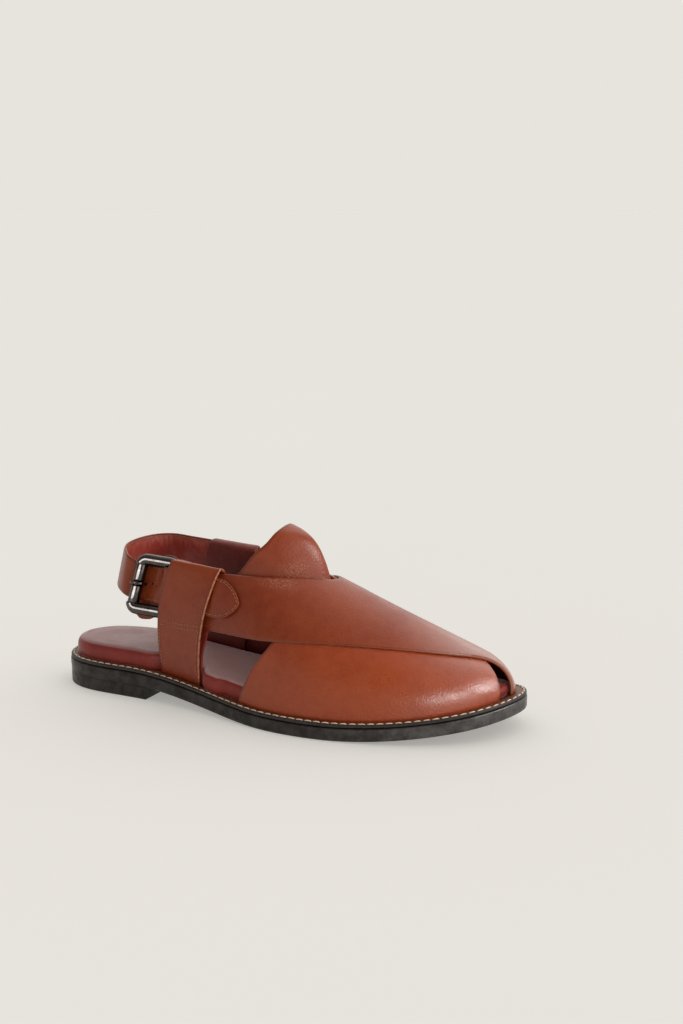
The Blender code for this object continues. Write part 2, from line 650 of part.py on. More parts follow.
def build_buckle_frame(collection, parent, paint):
    """Two stout arms with round corners; the roller's bar and the hinge bar are thin."""
    far, half, corner = BUCKLE_LENGTH, ARM_SPAN / 2, BUCKLE_CORNER
    near = corner - CORNER_BACK
    centres = ((far - corner, half - corner), (near, half - corner),
               (near, corner - half), (far - corner, corner - half))
    path = []
    for quarter, (along, up) in enumerate(centres):
        for step in range(6):
            turn = math.radians(90 * quarter + 18 * step)
            path.append((along + corner * math.cos(turn), up + corner * math.sin(turn)))
        if quarter == 0:
            path += [(along, half) for along in (19.5, 16.5)]
        if quarter == 1:
            path += [(0, half - corner - 0.5), (0, corner + 0.5 - half)]
        if quarter == 2:
            path += [(along, -half) for along in (16.5, 19.5)]
    radii = []
    for along, up in path:
        arm = smooth_step((abs(up) - half + corner) / 2.2) * smooth_step((far - along) / 7.0)
        radii.append(BAR_RADIUS + (ARM_RADIUS - BAR_RADIUS) * arm)
    points = [in_buckle(along, up, 0.0) for along, up in path]
    return wire_object("buckle_frame", points, radii, True, collection, parent, paint)


def build_buckle_roller(collection, parent, paint):
    ends = in_buckle(0, -ROLLER_HALF, 0), in_buckle(0, ROLLER_HALF, 0)
    outer_low, outer_high = tube_loops(*ends, ROLLER_RADIUS, 24)
    inner_low, inner_high = tube_loops(*ends, BAR_RADIUS + GAP + 0.1, 24)
    mesh = loft_mesh([inner_low, outer_low, outer_high, inner_high], ring=True)
    return add_object("buckle_roller", mesh, paint, collection, parent)


def build_buckle_prong(collection, parent, paint):
    """An eye round the hinge bar, a shank under the strap, and a tip through the hole and over the roller."""
    eye = BAR_RADIUS + GAP + PRONG_RADIUS
    reach = ROLLER_RADIUS + GAP + PRONG_RADIUS + 0.1
    path = [
        (BUCKLE_LENGTH + eye * math.sin(turn), -eye * math.cos(turn))
        for turn in np.radians(np.arange(300, -1, -25))
    ]
    path += [(21.0, -2.7), (15.5, -3.5), (11.5, -5.0), (8.0, -6.6), (6.0, -7.2), (4.7, -6.5), (4.2, -5.0)]
    path += [(4.15, -3.0), (4.1, -1.2)]
    path += [(reach * math.cos(turn), reach * math.sin(turn)) for turn in np.radians(range(5, 156, 25))]
    points = [in_buckle(along, 0.0, out) for along, out in path]
    radii = [PRONG_RADIUS] * len(points)
    return wire_object("buckle_prong", points, radii, False, collection, parent, paint, resolution=2)


def build_buckle_guard(collection, parent, paint):
    """The rounded flap between the buckle and the foot; its stem lies in the keeper's fold."""
    rows = []
    for along, low, high in zip(GUARD["along"], GUARD["low"], GUARD["high"]):
        out = through(along, GUARD_OUT["along"], GUARD_OUT["out"])
        up = np.linspace(low, high, 6)
        rows.append(in_buckle(np.full(6, along), up, np.full(6, out)))
    guard = add_object("buckle_guard", sheet_mesh(np.array(rows)), paint, collection, parent, smooth=50)
    solidify(guard, GUARD_THICK)
    return guard


def build_all():
    clear_scene()
    shoe = new_collection("peshawari_chappal")
    cutters = new_collection("cutters")
    frame = bpy.data.objects.new("last_frame", None)
    shoe.objects.link(frame)
    width = OUTLINE_FINE[:, 1]
    frame.location = (-LENGTH / 2 * MM, -(width.max() + width.min()) / 2 * MM, 0)
    cognac = material("cognac_leather", (0.26, 0.075, 0.035), 0.38)
    oxblood = material("oxblood_leather", (0.16, 0.03, 0.022), 0.45)
    rubber = material("black_sole", (0.022, 0.02, 0.018), 0.55)
    steel = material("gunmetal", (0.22, 0.215, 0.21), 0.22, 1.0)
    build_outsole(shoe, frame, rubber)
    build_heel(shoe, frame, rubber)
    build_welt(shoe, frame, cognac)
    build_footbed(shoe, frame, oxblood)
    build_upper(shoe, cutters, frame, cognac)
    build_tongue(shoe, frame, cognac)
    build_keeper("keeper_lateral", -1, LATERAL_TOP, shoe, frame, cognac)
    build_keeper("keeper_medial", 1, MEDIAL_TOP, shoe, frame, cognac)
    build_heel_strap(shoe, cutters, frame, cognac)
    build_buckle_guard(shoe, frame, cognac)
    build_buckle_frame(shoe, frame, steel)
    build_buckle_roller(shoe, frame, steel)
    build_buckle_prong(shoe, frame, steel)


build_all()
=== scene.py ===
"""Looks of the peshawari chappal: right shoe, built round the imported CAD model.

Shapes are worked out in the last's own frame, in millimetres: x from the back of the heel to the toe,
y positive on the medial side, z above the floor. placed() carries them into the row's frame, in metres.
"""
import math

import bmesh
import bpy
import numpy as np
from mathutils import Matrix, Vector
from mathutils.kdtree import KDTree


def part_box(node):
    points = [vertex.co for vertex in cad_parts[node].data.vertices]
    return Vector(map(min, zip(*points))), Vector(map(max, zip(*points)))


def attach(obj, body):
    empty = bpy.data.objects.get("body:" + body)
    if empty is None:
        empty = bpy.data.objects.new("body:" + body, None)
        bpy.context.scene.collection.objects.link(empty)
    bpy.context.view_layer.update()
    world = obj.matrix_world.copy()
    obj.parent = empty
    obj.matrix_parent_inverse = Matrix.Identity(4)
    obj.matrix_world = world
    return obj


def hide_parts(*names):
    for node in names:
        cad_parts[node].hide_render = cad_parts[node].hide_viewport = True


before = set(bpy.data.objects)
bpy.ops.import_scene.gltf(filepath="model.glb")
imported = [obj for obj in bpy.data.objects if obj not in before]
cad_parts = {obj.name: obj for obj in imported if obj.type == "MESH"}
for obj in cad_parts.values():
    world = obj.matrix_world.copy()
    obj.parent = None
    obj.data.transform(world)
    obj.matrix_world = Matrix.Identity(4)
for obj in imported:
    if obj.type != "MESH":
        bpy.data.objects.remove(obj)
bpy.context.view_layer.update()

MM = 0.001
GAP = 0.3                # between stiff pieces that lie on each other
SOLE_LOW, SOLE_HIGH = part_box("outsole")
LENGTH = (SOLE_HIGH.x - SOLE_LOW.x) / MM

# Sole
OUTSOLE_THICK = 7.9
WELT_THICK = 2.0
HEEL_TOP = 18.5          # top of the welt over the heel
HEEL_LENGTH = 70.0
ARCH_FROM, ARCH_RUN = 55.0, 110.0
SPRING_FROM, SPRING = 200.0, 12.0
FOOTBED_HEEL, FOOTBED_TOE = 10.5, 6.5
FOOTBED_INSET = 6.5
FOOTBED_WIDER, FOOTBED_WIDER_AHEAD = 1.4, 1.3   # behind the bands, and ahead of the lateral keeper besides
FOOTBED_TUCK, FOOTBED_TOE_TUCK = 6.1, 3.6       # beside the keepers, and under the toe
WELD_WITHIN = 0.02 * MM

# The footbed's filling
PAD_VOXEL, PAD_PRESSURE, PAD_FRAMES, PAD_STEPS, PAD_MASS = 3.0, 4.0, 20, 6, 0.3
PAD_HELD, PAD_MOST = 0.5, 0.9   # share of its height that is glued down, and the most that a point moves
PAD_NEAR = 30                   # how many points of the simulated copy a point of the cushion follows

# Leather
BAND_THICK = 2.2
OVER_THICK = 1.7
OVER_LIFT = 1.9          # the over-band's outer face over the under-band's
TONGUE_THICK = 1.6
TONGUE_GAP = 0.7
STRAP_THICK = 1.25       # outer leather; its padded lining comes inside
LINING_PAD = 1.9         # the lining's thickness at the middle of the strap
KEEPER_THICK = 1.4
GUARD_THICK = 1.2
SEAM = 0.5               # the last over the welt, at the feather line
CREASES = 46             # along the strap's lining

# Threads: from one stitch to the next, its length, its radius, and how far it slants
WELT_THREAD = {"pitch": 5.3, "dash": 4.5, "radius": 0.43, "slant": 0.1}
KEEPER_THREAD = {"pitch": 2.3, "dash": 1.35, "radius": 0.34, "slant": 0.5}
STRAP_THREAD = {"pitch": 2.6, "dash": 1.9, "radius": 0.26, "slant": 0.2}

# Keepers
KEEPER_REAR, KEEPER_FRONT = 79.3, 108.8
KEEPER_REAR_LEAN, KEEPER_FRONT_LEAN = 9.0, 13.0
KEEPER_RISE = np.array([0.0, 9.0, 18.0, 27.0, 34.0, 41.0, 48.0, 55.0, 61.0, 64.0]) / 64.0
KEEPER_OUT = (-1.4, 0.1, 1.8, 3.4, 4.3, 5.0, 5.2, 5.2, 5.2, 4.7)   # the outer ply off the last, foot to fold
KEEPER_FOOT_IN = (-5.5, -4.3, -2.9)                                # the inner ply off the last, at the foot
KEEPER_IN, KEEPER_DEEP, KEEPER_IN_MEDIAL = -4.0, -10.2, -1.6       # and above that
KEEPER_OVER_BAND = 2.1   # how much deeper the medial keeper's inner ply runs below its fold, over the band
KEEPER_DEPTH = (0.55, 1.0, 1.0, 1.0, 1.0, 0.95)                    # share of that depth, up to the fold
KEEPER_DEPTH_MEDIAL = (0.55, 1.0, 1.0, 0.8, 0.45, 0.2)
FOLD_HIGH = 1.2
LATERAL_TOP, MEDIAL_TOP = (88.8, 85.8), (92.2, 90.6)

# Buckle
BUCKLE_AT = (62.6, -28.0, 71.6)
BUCKLE_ALONG = (0.996, 0.053, -0.07)
BUCKLE_UP = (0.135, 0.275, 0.95)
BUCKLE_LENGTH = 26.0
ARM_SPAN = 30.6
ARM_RADIUS, BAR_RADIUS, ROLLER_RADIUS, GROOVE_RADIUS = 3.6, 1.2, 3.6, 2.8
BUCKLE_CORNER, CORNER_BACK = 4.2, 1.1
ROLLER_HALF, ROLLER_SIDES = 12.1, 40
PRONG_RADIUS = 1.0

OUTLINE = (
    (0, 0), (4, -15), (14, -25.5), (31, -31.5), (60, -34), (90, -38.5), (120, -46), (150, -55), (180, -60),
    (210, -58.5), (240, -51.5), (265, -41), (283, -28), (295, -11), (300, 7),
    (297, 20), (288, 32), (272, 42), (250, 47.5), (225, 48), (195, 44), (160, 36), (125, 30.5), (90, 31),
    (60, 32.5), (31, 31), (14, 25), (4, 14.5),
)

# Sections of the last: place, height of the instep line, its y, and how square the section is.
LAST = {
    "x": (55, 70, 110, 140, 170, 200, 230, 260, 300),
    "crown": (114, 114, 100, 87, 73.7, 60.5, 46, 30, 9.5),
    "mid": (-1, -1, -1, 0, 1, 2, 3, 5, 7),
    "full": (1.0, 1.0, 1.0, 0.95, 0.9, 0.85, 0.8, 0.75, 0.75),
}
TOE_FROM, TOE_ROUND = 269.0, 2.4
FEATHER_SIDE, FEATHER_TOE = 4.6, 6.8
BACK = 70.0

# The bands' edges in their flat pattern, from the welt to the keeper.
OVER_FRONT = {
    "forward": (0.999, 0.905, 0.84, 0.784, 0.70, 0.56, 0.387, 0.282, 0.164, 0.105),
    "across": (-0.036, 0.013, 0.036, 0.024, -0.065, -0.304, -0.556, -0.667, -0.75, -0.785),
}
OVER_REAR = {
    "forward": (0.150, 0.171, 0.217, 0.280, 0.325, 0.336, 0.305, 0.264, 0.217, 0.163, 0.105),
    "across": (0.9887, 0.83, 0.68, 0.45, 0.18, -0.03, -0.16, -0.281, -0.384, -0.474, -0.59),
}
UNDER_FRONT = {
    "forward": (0.981, 0.888, 0.812, 0.765, 0.70, 0.56, 0.387, 0.282, 0.164, 0.105),
    "across": (-0.184, -0.128, -0.057, -0.008, 0.074, 0.304, 0.556, 0.667, 0.75, 0.785),
}
UNDER_REAR = {
    "forward": (0.319, 0.318, 0.328, 0.336, 0.34, 0.336, 0.305, 0.264, 0.217, 0.163, 0.105),
    "across": (-0.9478, -0.80, -0.68, -0.45, -0.18, 0.03, 0.16, 0.281, 0.384, 0.474, 0.59),
}

TONGUE_EDGE = {
    "angle": (0, 6, 14, 24, 34, 44, 56),
    "x": (153.4, 153.3, 152.7, 149.6, 139.2, 123.5, 109),
}
TONGUE_FRONT = 214.0
TONGUE_RISE = 22.3
TONGUE_CLEAR, TONGUE_RISE_RUN = 0.003, 0.075
TONGUE_SMOOTHINGS = 160

# Patches of crazing with painted glints, on the over-band's edge and on the tongue: middle and reach
BAND_CRACKLE_GLINTS = (160.0, -26.5, 81.0), (20.0, 12.0, 6.0)
TONGUE_CRACKLE_GLINTS = (163.0, -14.0, 86.0), (19.0, 12.0, 9.5)

STRAP_MEDIAL = {
    "x": (121, 114, 106, 95, 82, 70),
    "z": (77.2, 77.4, 77.7, 78.2, 78.7, 79.2),
    "width": (23.2, 23.8, 24.2, 24.5, 24.8, 25.2),
    "out": (3.2, 3.2, 3.2, 3.2, 3.2, 3.0),
}
STRAP_HEEL = {
    "x": (58, 48.5, 41.5, 38, 39.8, 46.5, 54.5),
    "y": (29.2, 25.5, 17.5, 4, -10, -20.3, -26.2),
    "z": (79.4, 79.4, 79.1, 78.7, 78.1, 76.9, 74.8),
    "width": (25.4, 25.4, 25, 24.4, 23.7, 23, 22.6),
    "lean": (8, 9, 10, 11, 12, 12, 12),
}
HEEL_CENTRE = (62.0, 2.0)
STRAP_WINDOW = {
    "along": (-1.5, 1.5, 4.5, 8, 11.5, 15),
    "up": (1.3, 1.2, 1.1, 1.1, 1.2, 1.4),
    "out": (-3.4, -3.35, -3.1, -1.9, 0.0, 1.9),
    "width": (22.4, 22.3, 22.2, 22.2, 22.2, 22.2),
}
STRAP_LATERAL = {
    "x": (83, 90, 100, 112, 118),
    "z": (71.7, 71.2, 70.5, 69.9, 69.8),
    "width": (22.2, 22, 22, 22, 22),
    "out": (2.8, 3.4, 3.2, 3.2, 3.2),
}
TAIL_TIP = {"x": 138.0, "z": 67.6, "out": 3.5}
HOLES = ((4.2, 0.0, 1.0), (9.2, 1.0, 0.95))   # along, up, radius in the buckle's axes
HOLE_SIDES, RIM_OUT, RIM_RADIUS = 28, 0.25, 0.28
LINING_TO_Y = -24.5      # the lining ends short of the buckle

GUARD = {
    "along": (-3.5, -2, 0.5, 4, 8, 12, 14, 16, 18, 20.5, 22.5, 24.5, 27),
    "low": (-8, -15.5, -19.6, -21.2, -20.8, -19.2, -18, -15, -11.6, -11.2, -11, -11, -11),
    "high": (3, 9, 13.5, 16.5, 18.6, 19.6, 19.8, 19.6, 19.2, 18, 14.5, 9.5, 8),
}
GUARD_OUT = {"along": (-7, 4, 8, 11, 15, 20, 26, 27), "out": (-8.4, -8.4, -8.1, -7.0, -5.4, -4.2, -3.5, -3.5)}

# Rows and columns of the grids
BAND_GRID, KEEPER_GRID, STRAP_GRID, GUARD_GRID = (240, 90), (46, 150), (330, 34), (110, 40)
TONGUE_ROWS, TONGUE_HIDDEN_ROWS, TONGUE_COLUMNS = 90, 40, 150
TAIL_ROWS, LINING_COLUMNS = 33, 60

# Curves


def smooth_step(t):
    t = np.clip(t, 0, 1)
    return t * t * (3 - 2 * t)


def hump(t, middle, width):
    """A soft bell: 1 at middle, 0 at the distance width from it."""
    return smooth_step(1 - np.abs(t - middle) / width)


def unit(vectors):
    """The vectors, each at length 1."""
    return vectors / np.maximum(np.linalg.norm(vectors, axis=-1, keepdims=True), 1e-12)


def turns(count):
    """count even angles round a circle."""
    return np.linspace(0, 2 * math.pi, count, endpoint=False)


def through(x, xs, ys):
    """A curve through the points that doesn't overshoot (monotone cubic)."""
    xs, ys = np.asarray(xs, float), np.asarray(ys, float)
    step, rise = np.diff(xs), np.diff(ys)
    slope = rise / step
    inner = np.zeros(len(xs))
    same = slope[1:] * slope[:-1] > 0
    with np.errstate(divide="ignore", invalid="ignore"):
        mean = 2 * slope[1:] * slope[:-1] / (slope[1:] + slope[:-1])
    inner[1:-1] = np.where(same, mean, 0)
    inner[0], inner[-1] = slope[0], slope[-1]
    x = np.clip(x, xs[0], xs[-1])
    i = np.clip(np.searchsorted(xs, x, side="right") - 1, 0, len(step) - 1)
    t, h = (x - xs[i]) / step[i], step[i]
    return (
        ys[i] * (1 + 2 * t) * (1 - t) ** 2 + h * inner[i] * t * (1 - t) ** 2
        + ys[i + 1] * t * t * (3 - 2 * t) + h * inner[i + 1] * t * t * (t - 1)
    )


def run_of(points):
    """Length along a polyline up to each of its points."""
    return np.concatenate([[0], np.cumsum(np.linalg.norm(np.diff(points, axis=0), axis=1))])


def resample(points, at):
    """The points of a polyline at the given lengths along it."""
    run = run_of(points)
    return np.column_stack([np.interp(at, run, points[:, k]) for k in range(points.shape[1])])


def smooth_path(points, count, closed=False):
    """count points evenly along a cubic spline through the given ones."""
    points = np.array(points, float)
    if closed:
        points = np.vstack([points[-3:], points, points[:4]])
    gap = np.sqrt(np.linalg.norm(np.diff(points, axis=0), axis=1))
    n = len(points)
    matrix, right = np.eye(n), np.zeros_like(points)
    for i in range(1, n - 1):
        matrix[i, i - 1:i + 2] = gap[i - 1], 2 * (gap[i - 1] + gap[i]), gap[i]
        right[i] = 6 * ((points[i + 1] - points[i]) / gap[i] - (points[i] - points[i - 1]) / gap[i - 1])
    bend = np.linalg.solve(matrix, right)
    t = np.linspace(0, 1, 24, endpoint=False)[:, None]
    spans = range(3, n - 4) if closed else range(n - 1)
    fine = np.vstack([
        (1 - t) * points[i] + t * points[i + 1] + gap[i] ** 2 / 6
        * (((1 - t) ** 3 - (1 - t)) * bend[i] + (t ** 3 - t) * bend[i + 1]) for i in spans
    ])
    fine = np.vstack([fine, fine[:1] if closed else points[-1:]])
    return resample(fine, np.linspace(0, run_of(fine)[-1], count, endpoint=not closed))


def dense_ends(count):
    """0 to 1 in count steps that are finer near both ends."""
    even = np.linspace(0, 1, count)
    return 0.45 * even + 0.55 * (1 - np.cos(math.pi * even)) / 2


# The last


OUTLINE_FINE = smooth_path(OUTLINE, 2400, closed=True)
OUTLINE_MIDDLE = (OUTLINE_FINE[:, 1].max() + OUTLINE_FINE[:, 1].min()) / 2
ORIGIN = np.array([SOLE_LOW.x, (SOLE_LOW.y + SOLE_HIGH.y) / 2 - OUTLINE_MIDDLE * MM, SOLE_LOW.z])


def placed(points):
    """From the last's frame to the row's frame."""
    return ORIGIN + np.asarray(points, float) * MM


def outline_inset(inset):
    """The sole's outline moved inwards, by one inset or by one for each of its points."""
    along = unit(np.roll(OUTLINE_FINE, -1, 0) - np.roll(OUTLINE_FINE, 1, 0))
    inward = np.column_stack([-along[:, 1], along[:, 0]])
    return OUTLINE_FINE + inward * np.reshape(inset, (-1, 1))


def two_sides(loop):
    """The lateral and the medial side of a closed outline, each from heel to toe."""
    loop = np.roll(loop, -loop[:, 0].argmin(), 0)
    toe = loop[:, 0].argmax()
    return loop[:toe + 1], np.vstack([loop[toe:], loop[:1]])[::-1]


FEATHER_INSET = FEATHER_SIDE + (FEATHER_TOE - FEATHER_SIDE) * smooth_step((OUTLINE_FINE[:, 0] - 255) / 40)
FEATHER_LATERAL, FEATHER_MEDIAL = two_sides(outline_inset(FEATHER_INSET))
TIP_X, TIP_Y = FEATHER_LATERAL[-1]


def welt_top(x):
    """Height of the welt's top: level at the heel, down through the arch, up again at the toe."""
    ball = OUTSOLE_THICK + WELT_THICK + GAP
    drop = smooth_step((x - ARCH_FROM) / ARCH_RUN)
    spring = SPRING * np.clip((x - SPRING_FROM) / (LENGTH - SPRING_FROM), 0, None) ** 1.8
    return HEEL_TOP + (ball - HEEL_TOP) * drop + spring


def crown(x):
    """Height of the instep line over the welt, rounded off at the toe."""
    rounding = np.clip((x - TOE_FROM) / (TIP_X - TOE_FROM), 0, 1)
    return through(x, LAST["x"], LAST["crown"]) * (1 - rounding ** TOE_ROUND) ** (1 / TOE_ROUND)


def on_last(x, angle):
    """A point of the last: angle is -90 degrees at the lateral feather line, 0 on the instep, 90 medial."""
    x, angle = np.broadcast_arrays(np.asarray(x, float), np.asarray(angle, float))
    middle = through(x, LAST["x"], LAST["mid"])
    middle = middle + (TIP_Y - middle) * np.clip((x - TOE_FROM) / (TIP_X - TOE_FROM), 0, 1) ** 2
    lateral = middle - np.interp(x, *FEATHER_LATERAL.T)
    medial = np.interp(x, *FEATHER_MEDIAL.T) - middle
    side = np.where(angle < 0, lateral, medial)
    height = crown(x) * np.clip(np.cos(angle), 0, 1) ** through(x, LAST["x"], LAST["full"])
    seam = SEAM * np.clip(height / 4, 0.1, 1)
    return np.stack([x, middle + side * np.sin(angle), welt_top(x) + seam + height], -1)


def off_last(x, angle, out, shape=on_last):
    """A point at the distance out from the last's surface, negative inside it."""
    x, angle = np.broadcast_arrays(np.asarray(x, float), np.asarray(angle, float))
    dx, da = 0.2, 0.01
    here = shape(x, angle)
    along = shape(np.minimum(x + dx, TIP_X), angle) - shape(np.minimum(x, TIP_X - dx) - dx, angle)
    round_it = shape(x, angle + da) - shape(x, angle - da)
    normal = np.cross(along, round_it)
    length = np.linalg.norm(normal, axis=-1, keepdims=True)
    normal = np.where(length > 1e-9, normal / np.maximum(length, 1e-9), (1.0, 0.0, 0.0))
    return here + normal * np.asarray(out, float)[..., None]


def beside(x, z, side, out):
    """A point at a height beside the foot (side -1 lateral, 1 medial), at a distance off the last."""
    x, z = np.asarray(x, float), np.asarray(z, float)
    full = through(x, LAST["x"], LAST["full"])
    share = np.clip((z - welt_top(x) - SEAM) / crown(x), 0, 1)
    return off_last(x, side * np.arccos(share ** (1 / full)), np.asarray(out, float))


def wrap(forward, across):
    """From the bands' flat pattern to x and angle on the last, by way of a quarter sphere."""
    radius = np.clip(np.hypot(forward, across), 1e-9, 1)
    tilt = radius * math.pi / 2
    ahead = np.sin(tilt) * forward / radius
    sideways = np.sin(tilt) * across / radius
    return BACK + (TIP_X - BACK) * np.clip(ahead, 0, 1), np.arctan2(sideways, np.cos(tilt))


def flat_from(x, angle):
    """The inverse of wrap()."""
    ahead = np.clip((x - BACK) / (TIP_X - BACK), 0, 1)
    ring = np.sqrt(1 - ahead ** 2)
    sideways = ring * np.sin(angle)
    radius = np.arccos(np.clip(ring * np.cos(angle), 0, 1)) * 2 / math.pi
    scale = radius / np.maximum(np.hypot(ahead, sideways), 1e-9)
    return ahead * scale, sideways * scale


def edge_line(edge, count):
    """A band's edge in the flat pattern, as count points."""
    return smooth_path(np.column_stack([edge["forward"], edge["across"]]), count)


def band_pattern(front, rear, rows, columns):
    """The flat grid of a band: rows from the welt to the keeper, columns from front edge to rear edge."""
    front_line, rear_line = edge_line(front, rows), edge_line(rear, rows)
    share = dense_ends(columns)
    turn = [math.atan2(line[0, 1], line[0, 0]) for line in (front_line, rear_line)]
    rim = turn[0] + (turn[1] - turn[0]) * share
    start = np.column_stack([np.cos(rim), np.sin(rim)])
    front_line[0], rear_line[0] = start[0], start[-1]
    end = front_line[-1] + (rear_line[-1] - front_line[-1]) * share[:, None]
    p, q = np.linspace(0, 1, rows)[:, None, None], share[None, :, None]
    ruled = (1 - q) * front_line[:, None] + q * rear_line[:, None] + (1 - p) * start[None] + p * end[None]
    low = (1 - q) * start[0] + q * start[-1]
    high = (1 - q) * end[0] + q * end[-1]
    return ruled - (1 - p) * low - p * high


# Meshes


def new_object(name, points, faces, materials, picks=None, values=None):
    """A mesh object from points in the last's frame; picks are material numbers, values point attributes."""
    mesh = bpy.data.meshes.new(name)
    mesh.from_pydata(placed(points).tolist(), [], [tuple(int(v) for v in face) for face in faces])
    for material in materials:
        mesh.materials.append(material)
    if picks is not None:
        mesh.polygons.foreach_set("material_index", np.asarray(picks, np.int32))
    for key, data in (values or {}).items():
        attribute = mesh.attributes.new(key, "FLOAT", "POINT")
        attribute.data.foreach_set("value", np.asarray(data, np.float32))
    mesh.polygons.foreach_set("use_smooth", np.ones(len(mesh.polygons), bool))
    mesh.update()
    obj = bpy.data.objects.new(name, mesh)
    bpy.context.scene.collection.objects.link(obj)
    return obj


def declare(obj, slot, *nodes):
    """The piece rides on the shoe and stands for the CAD nodes. slot is not used."""
    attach(obj, "root")
    if nodes:
        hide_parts(*nodes)
    return obj


def piece(name, mesh, paint, slot, *nodes):
    """A declared piece of one material, from (points, faces)."""
    return declare(new_object(name, *mesh, [paint]), slot, *nodes)


def grid_normals(grid):
    return unit(np.cross(np.gradient(grid, axis=0), np.gradient(grid, axis=1)))


def rim_distance(grid):
    """Each point's distance to the rim, along its row or its column."""
    found = []
    for axis in (0, 1):
        run = np.cumsum(np.linalg.norm(np.diff(grid, axis=axis), axis=-1), axis=axis)
        run = np.insert(run, 0, 0, axis=axis)
        found += [run, np.take(run, [-1], axis) - run]
    return np.min(found, axis=0)


def quads(rows, columns):
    i, j = np.meshgrid(np.arange(rows - 1), np.arange(columns - 1), indexing="ij")
    first = (i * columns + j).ravel()
    return np.column_stack([first, first + columns, first + columns + 1, first + 1])


def perimeter(rows, columns):
    """Indices round the grid, anticlockwise seen from outside."""
    return np.concatenate([
        np.arange(rows) * columns,
        (rows - 1) * columns + np.arange(1, columns),
        np.arange(rows - 2, -1, -1) * columns + columns - 1,
        np.arange(columns - 2, 0, -1),
    ])


RIM = ((0.05, 0.5), (0.2, 0.85), (0.5, 1.0), (0.8, 0.85), (0.95, 0.5))   # share of the thickness, bulge


def hide_piece(
    name, node, outer, thickness, hide, bulge=0.45, roll=0.25, roll_width=1.6, crackle_and_glints=None, lined=None,
):
    """A leather piece with a round cut edge. outer is a grid whose rows and columns turn anticlockwise.

    hide holds the materials of the outer face, the edge and the inner face. crackle says how much crazing
    each point shows, and with it how many painted glints; lined says for each column of the grid whether its
    outer face is lining."""
    rows, columns = outer.shape[:2]
    normal = grid_normals(outer)
    edge = rim_distance(outer)
    inner = outer - normal * thickness
    outer = outer - normal * (roll * np.clip(1 - edge / roll_width, 0, 1) ** 2)[..., None]
    outside, inside = outer.reshape(-1, 3), inner.reshape(-1, 3)
    ring = perimeter(rows, columns)
    line, through_it = outside[ring], inside[ring] - outside[ring]
    tangent = np.roll(line, -1, 0) - np.roll(line, 1, 0)
    away = unit(np.cross(tangent, normal.reshape(-1, 3)[ring]))
    loops = [line + through_it * share + away * bulge * reach for share, reach in RIM]
    count, total = len(ring), rows * columns
    bands = [ring] + [2 * total + k * count + np.arange(count) for k in range(len(RIM))] + [total + ring]
    face = quads(rows, columns)
    lined = np.zeros(columns, bool) if lined is None else lined
    faces = [face, total + face[:, ::-1]]
    picks = [np.where(np.tile(lined[:-1], rows - 1), 2, 0), np.full(len(face), 2)]
    for upper, lower in zip(bands, bands[1:]):
        faces.append(np.column_stack([upper, lower, np.roll(lower, -1), np.roll(upper, -1)]))
        picks.append(np.where(lined[ring % columns], 2, 1))
    values = {"edge": np.concatenate([edge.ravel(), edge.ravel(), np.zeros(len(RIM) * count)])}
    if crackle_and_glints is not None:
        crackle_and_glints = crackle_and_glints.ravel()
        values["crackle_and_glints"] = np.concatenate([crackle_and_glints, crackle_and_glints] + [crackle_and_glints[ring]] * len(RIM))
    points = np.vstack([outside, inside] + loops)
    obj = new_object(name, points, np.vstack(faces), hide, np.concatenate(picks), values)
    return declare(obj, "cognac_leather", node)


DOME = np.radians((85, 65, 40, 15))   # rings of a bar's domed end


def tube(points, radii, sides, closed=False):
    """Points and faces of a round bar along a path, carried without twist; its ends are domed."""
    points, radii = np.asarray(points, float), np.asarray(radii, float)
    if closed:
        tangent = np.roll(points, -1, 0) - np.roll(points, 1, 0)
    else:
        domes = []
        for end, near in ((0, 1), (-1, -2)):
            axis = unit(points[end] - points[near])
            domes.append(points[end] + radii[end] * axis * (np.sin(DOME) - 0.6)[:, None])
        points = np.vstack([domes[0], points, domes[1][::-1]])
        radii = np.concatenate([radii[0] * np.cos(DOME), radii, radii[-1] * np.cos(DOME)[::-1]])
        tangent = np.gradient(points, axis=0)
    first = np.cross(unit(tangent)[0], (0.3, 0.2, 0.9))
    rings = []
    turn = turns(sides)[:, None]
    for place, along, radius in zip(points, unit(tangent), radii):
        first = unit(first - along * first.dot(along))
        second = np.cross(along, first)
        rings.append(place + radius * (np.cos(turn) * first + np.sin(turn) * second))
    return np.vstack(rings), bar_faces(len(points), sides, closed)


def bar_faces(count, sides, closed):
    faces = []
    for i in range(count if closed else count - 1):
        low, high = i * sides, (i + 1) % count * sides
        for k in range(sides):
            m = (k + 1) % sides
            faces.append((low + k, low + m, high + m, high + k))
    if not closed:
        faces.append(tuple(range(sides - 1, -1, -1)))
        faces.append(tuple(range((count - 1) * sides, count * sides)))
    return faces


def joined(parts):
    """Several (points, faces) as one."""
    points, faces, start = [], [], 0
    for part_points, part_faces in parts:
        points.append(part_points)
        faces += [tuple(start + v for v in face) for face in part_faces]
        start += len(part_points)
    return np.vstack(points), faces


STITCH_RINGS = (   # along the stitch, size, height
    (-1, 0.3, -0.9), (-0.86, 0.75, -0.25), (-0.5, 1, 0.4), (0, 1, 0.55),
    (0.5, 1, 0.4), (0.86, 0.75, -0.25), (1, 0.3, -0.9),
)
STITCH_SIDES = 8


